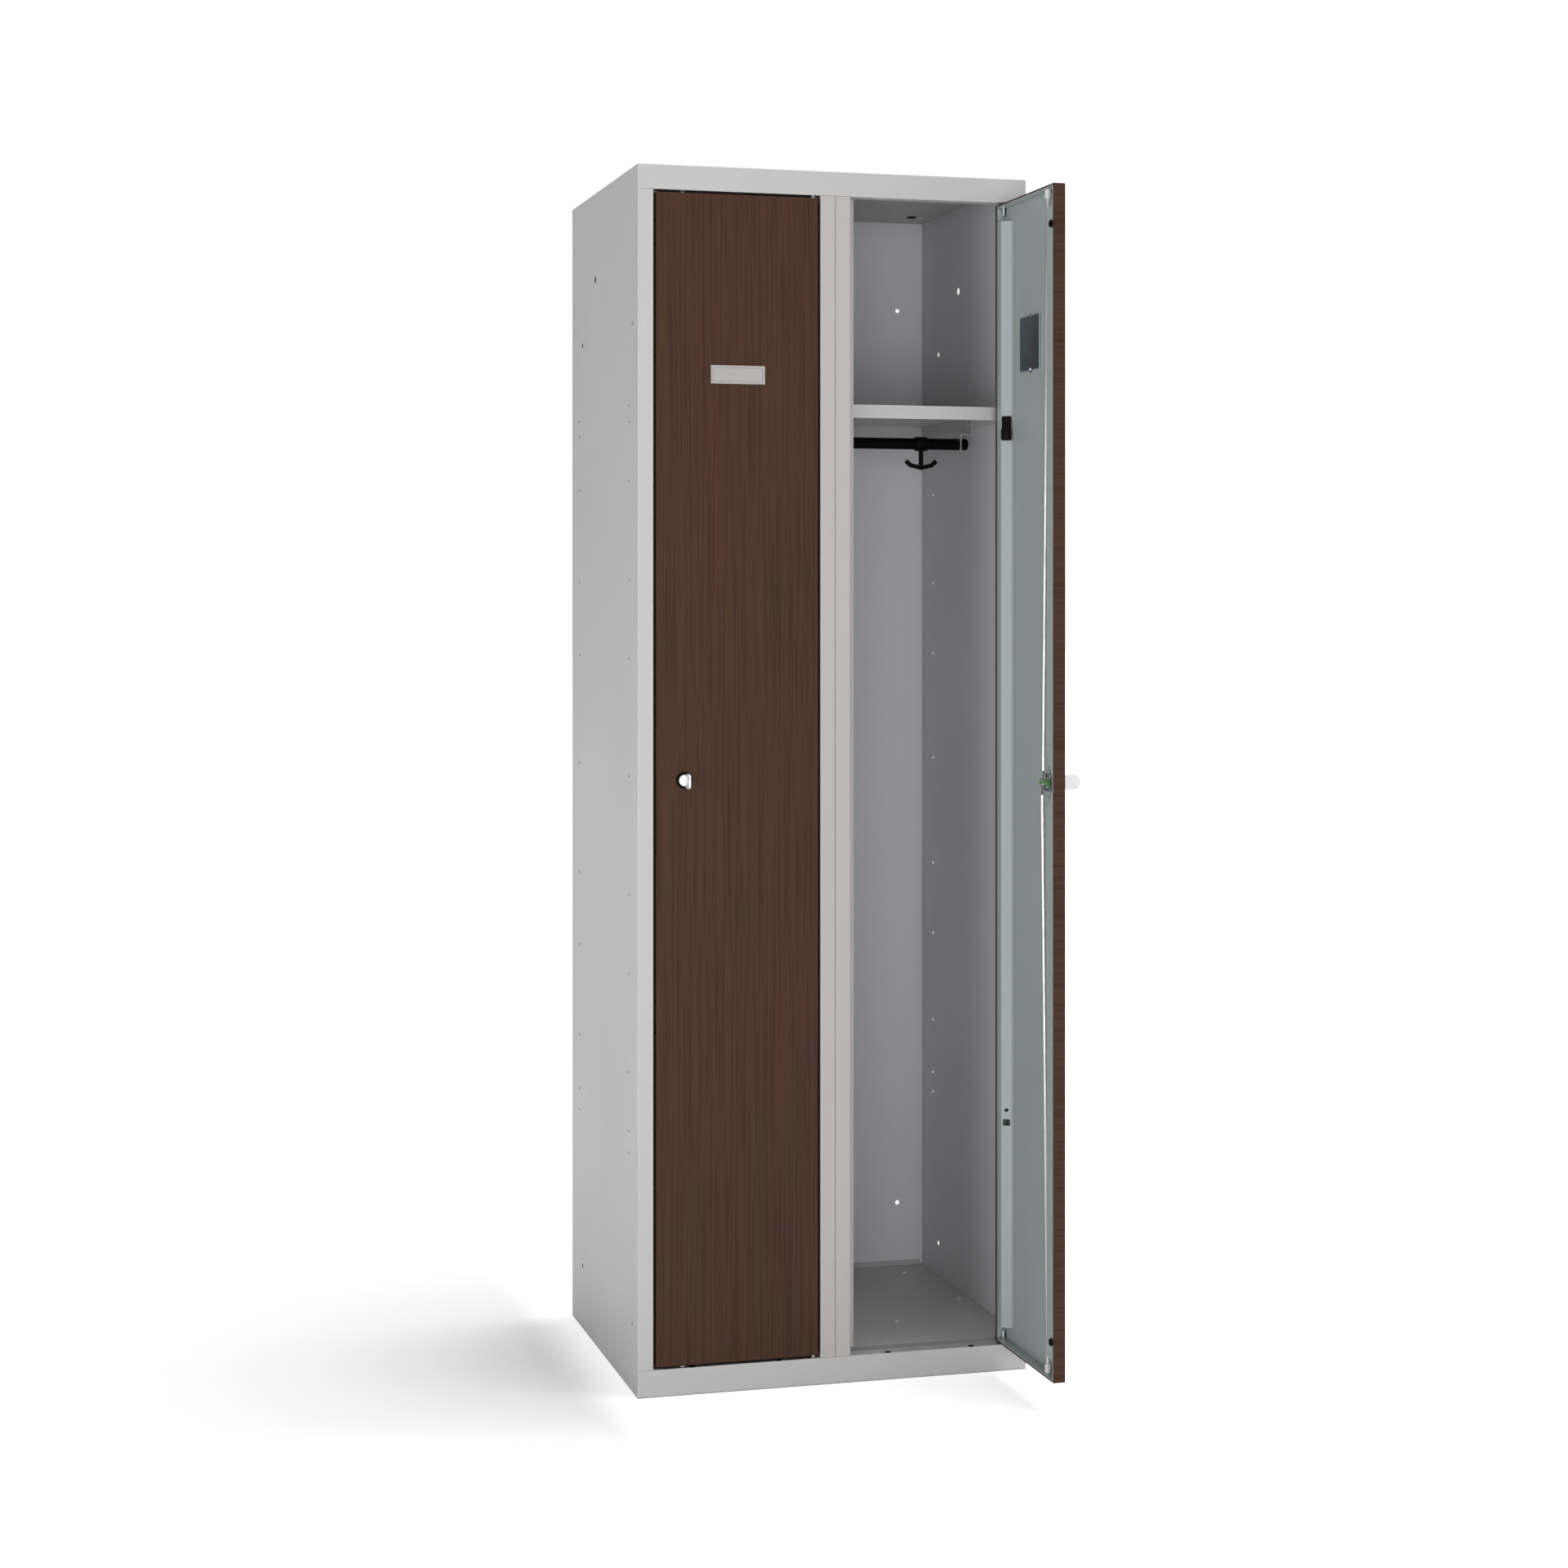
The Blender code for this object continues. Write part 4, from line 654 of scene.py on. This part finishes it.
def turned_mesh(name, profile, sides=RING_SIDES):
    """A closed body turned from (radius, height) points that start and end on the axis."""
    shape = bmesh.new()
    rings = []
    for radius, height in profile:
        count = sides if radius > 0 else 1
        ring = []
        for step in range(count):
            angle = math.tau * step / count
            ring.append(shape.verts.new((radius * math.cos(angle), radius * math.sin(angle), height)))
        rings.append(ring)
    for lower, upper in zip(rings, rings[1:]):
        for step in range(sides):
            after = (step + 1) % sides
            corners = [
                lower[step % len(lower)], lower[after % len(lower)],
                upper[after % len(upper)], upper[step % len(upper)],
            ]
            shape.faces.new(list(dict.fromkeys(corners)))
    bmesh.ops.recalc_face_normals(shape, faces=shape.faces)
    mesh = mesh_of(shape, name)
    mesh.shade_smooth()
    return mesh


def place_piece(name, mesh, look, body, spot, facing=(0, 0, 1)):
    """A new piece that rides on a body, with its own +Z along facing and, on a wall, its +Y up."""
    made = add_object(name, mesh)
    mesh.materials.append(look)
    turn = Vector(facing).to_track_quat("Z", "Y").to_matrix().to_4x4()
    made.matrix_world = Matrix.Translation(spot) @ turn
    mesh.set_sharp_from_angle(angle=math.radians(SHARP_ANGLE))
    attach(made, body)
    return made


def head_profile(radius, height):
    """A domed head with a small shoulder, sunk a little at its foot."""
    sink = HEAD_SINK * height
    curve = [(share * radius, rise * height) for share, rise in HEAD_CURVE]
    return [(0, -sink), (radius, -sink), *curve, (0, height)]


print("a head's profile has", len(head_profile(1.0, 1.0)), "points")

# %% [markdown]
# ## Places on the doors
# Both doors are one design, drawn in the door's own measures: across from the hinge line, through from front to
# back, and up. The left door lies along X and the open one along Y, so two short functions turn door measures
# into room measures. A ray shot at a solid then tells where its surface lies, and trim sits on it exactly.

# %% Door measures and ray shots
HINGES = {"left": (-0.033, -0.243), "right": (0.267, -0.243)}
LOCK_ACROSS = -0.198
LOCK_LEVEL = 0.900
SHOT_START = 0.06


def door_way(side, across, through, up):
    return Vector((across, through, up)) if side == "left" else Vector((-through, across, up))


def door_spot(side, across, through, up):
    x, y = HINGES[side]
    return Vector((x, y, 0)) + door_way(side, across, through, up)


def surface(name, start, way):
    """Where a ray from start first meets the named solid."""
    hit, spot, _, _ = nodes[name].ray_cast(start, way)
    if not hit:
        raise ValueError("no surface of " + name + " there")
    return spot


print("the open door's lock is at", tuple(door_spot("right", LOCK_ACROSS, 0, LOCK_LEVEL)))

# %% Crank screws
# The rods' yokes slide over the crank with 0.3 mm to spare, so the screw's head is nearly flush.
SCREW_RADIUS = 0.0024
SCREW_HEIGHT = 0.0002

for side in HINGES:
    inward = door_way(side, 0, -1, 0)
    start = door_spot(side, LOCK_ACROSS, SHOT_START, LOCK_LEVEL)
    seat = surface(side + "_lock_crank", start, inward)
    mesh = turned_mesh(side + "_crank_screw", head_profile(SCREW_RADIUS, SCREW_HEIGHT))
    place_piece(side + "_crank_screw", mesh, zinc, side + "_lock", seat, -inward)
    print(side, "crank screw at", tuple(round(value, 4) for value in seat))

# %% [markdown]
# ## Wing knobs
# The knob is a die casting: a short barrel fills the rosette, and a flat wing stands out of it far enough for
# two fingers. The wing widens towards its rounded end. Its outline is drawn as half a profile, mirrored, and
# given its thickness; a small bevel softens the casting's edges. It stands for the plainer solid.

# %% Knobs with a long wing
BARREL_RADIUS = 0.0085
BARREL_LENGTH = 0.0183
BARREL_DEPTH = 0.0058
BARREL_CHAMFER_RADIUS = 0.93 * BARREL_RADIUS
BARREL_CHAMFER_START = 0.92 * BARREL_LENGTH
WING_SHEET = 0.0030
WING_ROUNDING = WING_SHEET / 5
WING_RIM_ANGLE = 60
WING_HALF = (
    (0.013, 0.0080), (0.024, 0.0092), (0.034, 0.0106), (0.042, 0.0112), (0.0465, 0.0104), (0.0495, 0.0082),
    (0.0510, 0.0045),
)


def write_in_order(shape, mesh):
    """Writes the bmesh sorted by place, because the bevel's own order can differ from run to run."""
    points = sorted(shape.verts, key=lambda point: tuple(point.co))
    numbers = {point: number for number, point in enumerate(points)}
    faces = []
    for face in shape.faces:
        ring = [numbers[point] for point in face.verts]
        first = ring.index(min(ring))
        faces.append((ring[first:] + ring[:first], face.smooth))
    faces.sort()
    mesh.clear_geometry()
    mesh.from_pydata([point.co for point in points], [], [ring for ring, _ in faces])
    mesh.polygons.foreach_set("use_smooth", [smooth for _, smooth in faces])
    shape.free()


def knob_mesh(name):
    """Barrel and wing; +Z is away from the door and +Y is up."""
    mesh = turned_mesh(name, [
        (0, 0), (BARREL_RADIUS, 0), (BARREL_RADIUS, BARREL_CHAMFER_START),
        (BARREL_CHAMFER_RADIUS, BARREL_LENGTH), (0, BARREL_LENGTH),
    ])
    shape = bmesh.new()
    shape.from_mesh(mesh)
    outline = [*WING_HALF] + [(reach, -half) for reach, half in reversed(WING_HALF)]
    before = set(shape.faces)
    plate = shape.faces.new([shape.verts.new((-WING_SHEET / 2, up, reach)) for reach, up in outline])
    grown = bmesh.ops.extrude_face_region(shape, geom=[plate])
    moved = [part for part in grown["geom"] if isinstance(part, bmesh.types.BMVert)]
    bmesh.ops.translate(shape, verts=moved, vec=(WING_SHEET, 0, 0))
    wing = [face for face in shape.faces if face not in before]
    bmesh.ops.recalc_face_normals(shape, faces=wing)
    least = math.radians(WING_RIM_ANGLE)
    rims = dict.fromkeys(edge for face in wing for edge in face.edges if edge.calc_face_angle(0) > least)
    bmesh.ops.bevel(shape, geom=list(rims), offset=WING_ROUNDING, segments=2, affect="EDGES")
    write_in_order(shape, mesh)
    return mesh


for side in HINGES:
    outward = door_way(side, 0, -1, 0)
    seat = door_spot(side, LOCK_ACROSS, BARREL_DEPTH, LOCK_LEVEL)
    name = side + "_wing_knob"
    knob = place_piece(name, knob_mesh(name), satin, side + "_lock", seat, outward)
    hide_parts(side + "_knob")
print("wing knobs on both doors")

# %% [markdown]
# ## Rod bracket rivets
# Each hanging-rod bracket hangs on a strap under the shelf. Two rivet heads hold it. They are turned like the
# screws, a little flatter, and sit on the strap where a ray from the middle of the bay meets it.

# %% Bracket rivets
RIVET_RADIUS = 0.0026
RIVET_HEIGHT = 0.0010
RIVET_LEVEL = 1.4455
RIVET_SPREAD = 0.007
BAY_MIDDLES = {"left": -0.150, "right": 0.150}

for side, middle in BAY_MIDDLES.items():
    for end, way in (("left", -1), ("right", 1)):
        for number, depth in enumerate((-RIVET_SPREAD, RIVET_SPREAD)):
            bracket = f"{side}_bay_{end}_rod_bracket"
            seat = surface(bracket, Vector((middle, depth, RIVET_LEVEL)), Vector((way, 0, 0)))
            name = f"{side}_bay_{end}_rivet_{number}"
            mesh = turned_mesh(name, head_profile(RIVET_RADIUS, RIVET_HEIGHT))
            place_piece(name, mesh, zinc, "cabinet", seat, (-way, 0, 0))
print("rivets on four brackets")

# %% [markdown]
# ## Floor trim
# Two black discs at the front edge of each bay's floor are painted shade: they stand for the dark of the
# floor's spare holes. Three flat rivets tie the floor to the parts below it. A bead of sealant closes the seam
# where the floor meets the rear wall. The places were read from the picture.

# %% Hole shades, floor rivets and sealant
LEDGE_LEVEL = 0.0400
FLOOR_LEVEL = 0.0470
FLOOR_HOLE_SHADE_RADIUS = 0.0046
FLOOR_HOLE_SHADE_HEIGHT = 0.0008
FLOOR_HOLE_SHADE_SPOTS = ((-0.0674, -0.2452), (0.0642, -0.2452))
FLOOR_RIVET_RADIUS = 0.0038
FLOOR_RIVET_SPOTS = ((0.0986, 0.1898), (0.1303, 0.0032), (-0.0083, -0.1049))
BEAD_HALF = 0.1445
REAR_WALL = 0.2477
BEAD_PATH = ((0.0, 0.0001), (0.0037, 0.0001), (0.0031, 0.0020), (0.0017, 0.0045), (0.0, 0.0080))


def bead_mesh(name, half):
    """A fillet of sealant along X: a small concave triangle of (out, up) points; +Z is out and +Y is up."""
    shape = bmesh.new()
    ends = [[shape.verts.new((x, up, out)) for out, up in BEAD_PATH] for x in (-half, half)]
    for step in range(len(BEAD_PATH)):
        after = (step + 1) % len(BEAD_PATH)
        shape.faces.new((ends[0][step], ends[0][after], ends[1][after], ends[1][step]))
    for ring in ends:
        shape.faces.new(ring)
    bmesh.ops.recalc_face_normals(shape, faces=shape.faces)
    return mesh_of(shape, name)


for side, middle in BAY_MIDDLES.items():
    for number, (x, y) in enumerate(FLOOR_HOLE_SHADE_SPOTS):
        name = f"{side}_floor_plug_{number}"
        # Painted shade: a black disc stands for the dark of a hole at the floor's front edge.
        mesh = turned_mesh(name, head_profile(FLOOR_HOLE_SHADE_RADIUS, FLOOR_HOLE_SHADE_HEIGHT))
        place_piece(name, mesh, black_plastic, "cabinet", (middle + x, y, LEDGE_LEVEL))
    for number, (x, y) in enumerate(FLOOR_RIVET_SPOTS):
        name = f"{side}_floor_rivet_{number}"
        mesh = turned_mesh(name, head_profile(FLOOR_RIVET_RADIUS, RIVET_HEIGHT))
        place_piece(name, mesh, satin, "cabinet", (middle + x, y, FLOOR_LEVEL))
    name = side + "_floor_sealant"
    seat = (middle, REAR_WALL, FLOOR_LEVEL)
    place_piece(name, bead_mesh(name, BEAD_HALF), sealant, "cabinet", seat, (0, -1, 0))
print("plugs, floor rivets and sealant in both bays")

# %% [markdown]
# ## Mirror clips
# A clip is a strip of spring steel: its foot lies on the door sheet, it steps up past the glass and turns over
# the edge. We draw the fold as a path of points, sweep it to the strip's width, and let Solidify and Bevel give
# it thickness and soft edges.

# %% Bent strips
CLIP_WIDTH = 0.008
CLIP_SHEET = 0.0008
CLIP_FOOT = 0.004
CLIP_OVERLAP = 0.0025
CLIP_GAP = 0.0006


def strip_mesh(name, path, across, width):
    """A ribbon along the path, width wide in the direction across."""
    shape = bmesh.new()
    half = across * width / 2
    pairs = [(shape.verts.new(point - half), shape.verts.new(point + half)) for point in path]
    for near, far in zip(pairs, pairs[1:]):
        shape.faces.new((near[0], near[1], far[1], far[0]))
    return mesh_of(shape, name)


def thicken(piece, thickness, rounding):
    """Gives a ribbon its thickness, half to each side, and soft edges."""
    solid = piece.modifiers.new("sheet", "SOLIDIFY")
    solid.thickness = thickness
    solid.offset = 0.0
    soft = piece.modifiers.new("soft_edges", "BEVEL")
    soft.width = rounding
    soft.segments = 2
    soft.limit_method = "ANGLE"


def mirror_clip(side, name, edge, up):
    """A clip over the mirror's top edge (up 1) or bottom edge (up -1)."""
    glass_low, glass_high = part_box(side + "_mirror")
    middle = (glass_low + glass_high) / 2
    through = door_way(side, 0, 1, 0)
    front = (glass_high - glass_low).dot(Vector([abs(value) for value in through])) / 2
    face, sheet = middle + through * (front + CLIP_GAP), middle - through * (front - CLIP_GAP / 2)
    lift = up * CLIP_GAP
    path = [
        Vector((sheet.x, sheet.y, edge + up * CLIP_FOOT)), Vector((sheet.x, sheet.y, edge + lift)),
        Vector((face.x, face.y, edge + lift)), Vector((face.x, face.y, edge - up * CLIP_OVERLAP)),
    ]
    made = add_object(name, strip_mesh(name, path, door_way(side, 1, 0, 0), CLIP_WIDTH))
    made.data.materials.append(nickel)
    thicken(made, CLIP_SHEET, CLIP_SHEET / 4)
    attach(made, side + "_door")


for side in HINGES:
    low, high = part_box(side + "_mirror")
    mirror_clip(side, side + "_mirror_upper_clip", high.z, 1)
    mirror_clip(side, side + "_mirror_lower_clip", low.z, -1)
print("mirror clips at", round(high.z, 3), "and", round(low.z, 3))

# %% [markdown]
# ## Cards
# A blank card lies in each holder on the door front. A card is never quite flat: this one bows a fifth of a
# millimetre between its ends, and that small curve is what catches the light.

# %% Blank cards
CARD_INSET = 0.0034
CARD_SHEET = 0.0003
CARD_BOW = 0.0002
CARD_STEPS = 12

for side in HINGES:
    low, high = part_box(side + "_card_holder")
    out, across = door_way(side, 0, -1, 0), door_way(side, 1, 0, 0)
    middle = (low + high) / 2
    half = abs((high - low).dot(across)) / 2 - CARD_INSET
    rise = (high.z - low.z) / 2 - CARD_INSET
    floor_spot = surface(side + "_card_holder", middle + out * SHOT_START, -out)
    path = []
    for step in range(CARD_STEPS + 1):
        share = 2 * step / CARD_STEPS - 1
        path.append(floor_spot + across * half * share + out * (CARD_SHEET + CARD_BOW * (1 - share**2)))
    card = add_object(side + "_card", strip_mesh(side + "_card", path, Vector((0, 0, 1)), 2 * rise))
    card.data.materials.append(paper)
    thicken(card, CARD_SHEET, CARD_SHEET / 4)
    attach(card, side + "_door")
print("cards in both holders")

# %% [markdown]
# ## Floor and light
# The locker stands on a white studio floor that runs out of sight. The floor takes more light than it needs to
# read as white, and it has a painted glow, stronger to the camera than in the light it casts, so only the soft
# shadow beside the cabinet shows. The glow is weaker on the left, behind the locker's front, where that shadow
# falls. A wide sun high on the right gives the shadow. An upright soft box beside the camera looks into the open
# bay, one on the left lights the inside of the open door, and a pale sky keeps the shaded parts open.

# %% Studio floor
FLOOR_REACH = 60.0
GLOW_CAST = 0.10
GLOW_SEEN = 0.60
GLOW_ACROSS = (-0.40, -0.28)
GLOW_FRONT = (-0.22, -0.82)


def studio_floor():
    shape = bmesh.new()
    bmesh.ops.create_grid(shape, x_segments=8, y_segments=8, size=FLOOR_REACH)
    mesh = mesh_of(shape, "studio_floor")
    made = add_object("studio_floor", mesh)
    white, shader = blank_material("white_floor", Roughness=0.9, Specular_IOR_Level=0.1)
    tree = white.node_tree
    coordinate = add_node(tree, "TexCoord")
    cloud = add_node(tree, "TexNoise", {"Scale": 2.0, "Detail": 3.0})
    wire(tree, coordinate, "Object", cloud, "Vector")
    whites = {"A": rgb(0.88, 0.88, 0.88), "B": rgb(0.9, 0.9, 0.9)}
    tone = add_node(tree, "Mix", whites, data_type="RGBA")
    wire(tree, cloud, "Fac", tone, "Factor")
    wire(tree, tone, "Result", shader, "Base Color")
    wire(tree, tone, "Result", shader, "Emission Color")
    side = add_node(tree, "SeparateXYZ")
    wire(tree, coordinate, "Object", side, "Vector")
    lit = add_node(tree, "Math", operation="MAXIMUM")
    for number, (axis, dark, bright) in enumerate((("X", *GLOW_ACROSS), ("Y", *GLOW_FRONT))):
        ramp = add_node(tree, "MapRange", {
            "From Min": dark, "From Max": bright, "To Min": GLOW_CAST, "To Max": GLOW_SEEN,
        }, interpolation_type="SMOOTHSTEP")
        wire(tree, side, axis, ramp, "Value")
        tree.links.new(ramp.outputs["Result"], lit.inputs[number])
    # Painted light: the floor glows more to the camera than in the light it casts.
    seen = add_node(tree, "LightPath")
    glow = add_node(tree, "MapRange", {"To Min": GLOW_CAST})
    wire(tree, seen, "Is Camera Ray", glow, "Value")
    wire(tree, lit, "Value", glow, "To Max")
    wire(tree, glow, "Result", shader, "Emission Strength")
    mesh.materials.append(white)
    return made


studio_floor()
print("floor", 2 * FLOOR_REACH, "m wide")

# %% Sky, sun and panels
SKY_STRENGTH = 0.30
BACKDROP_STRENGTH = 1.05
KEY_STRENGTH = 2.7
KEY_SPREAD = 50.0
KEY_FROM = (0.32, 0.0, 1.0)
PANEL_SIZE = (2.0, 1.8)
FRONT_PANEL = {"power": 56.0, "place": (-0.9, -4.7, 0.95)}
SIDE_PANEL = {"power": 43.0, "place": (-4.3, -3.0, 1.0)}
PANEL_AIM = (0.1, 0.0, 0.9)


def studio_sky():
    """An even sky; straight to the camera it shows as a white backdrop."""
    world = bpy.data.worlds.new("studio_sky")
    world.use_nodes = True
    sky = world.node_tree.nodes["Background"]
    sky.inputs["Color"].default_value = rgb(1.0, 1.0, 1.0)
    seen = add_node(world.node_tree, "LightPath")
    level = add_node(world.node_tree, "MapRange", {"To Min": SKY_STRENGTH, "To Max": BACKDROP_STRENGTH})
    wire(world.node_tree, seen, "Is Camera Ray", level, "Value")
    wire(world.node_tree, level, "Result", sky, "Strength")
    bpy.context.scene.world = world


def soft_sun(name, strength, spread, source):
    sun = bpy.data.lights.new(name, "SUN")
    sun.energy = strength
    sun.angle = math.radians(spread)
    lamp = bpy.data.objects.new(name, sun)
    lamp.rotation_euler = Vector(source).to_track_quat("Z", "Y").to_euler()
    bpy.context.collection.objects.link(lamp)


def light_panel(name, power, place):
    """An upright soft box that looks at the locker."""
    panel = bpy.data.lights.new(name, "AREA")
    panel.shape = "RECTANGLE"
    panel.size, panel.size_y = PANEL_SIZE
    panel.energy = power
    lamp = bpy.data.objects.new(name, panel)
    lamp.location = place
    lamp.rotation_euler = (Vector(place) - Vector(PANEL_AIM)).to_track_quat("Z", "Y").to_euler()
    bpy.context.collection.objects.link(lamp)


studio_sky()
soft_sun("key_sun", KEY_STRENGTH, KEY_SPREAD, KEY_FROM)
light_panel("front_panel", **FRONT_PANEL)
light_panel("side_panel", **SIDE_PANEL)
bpy.context.scene.view_settings.view_transform = "Standard"
print("sky", SKY_STRENGTH, "key", KEY_STRENGTH, "panels", FRONT_PANEL["power"], SIDE_PANEL["power"], "W")
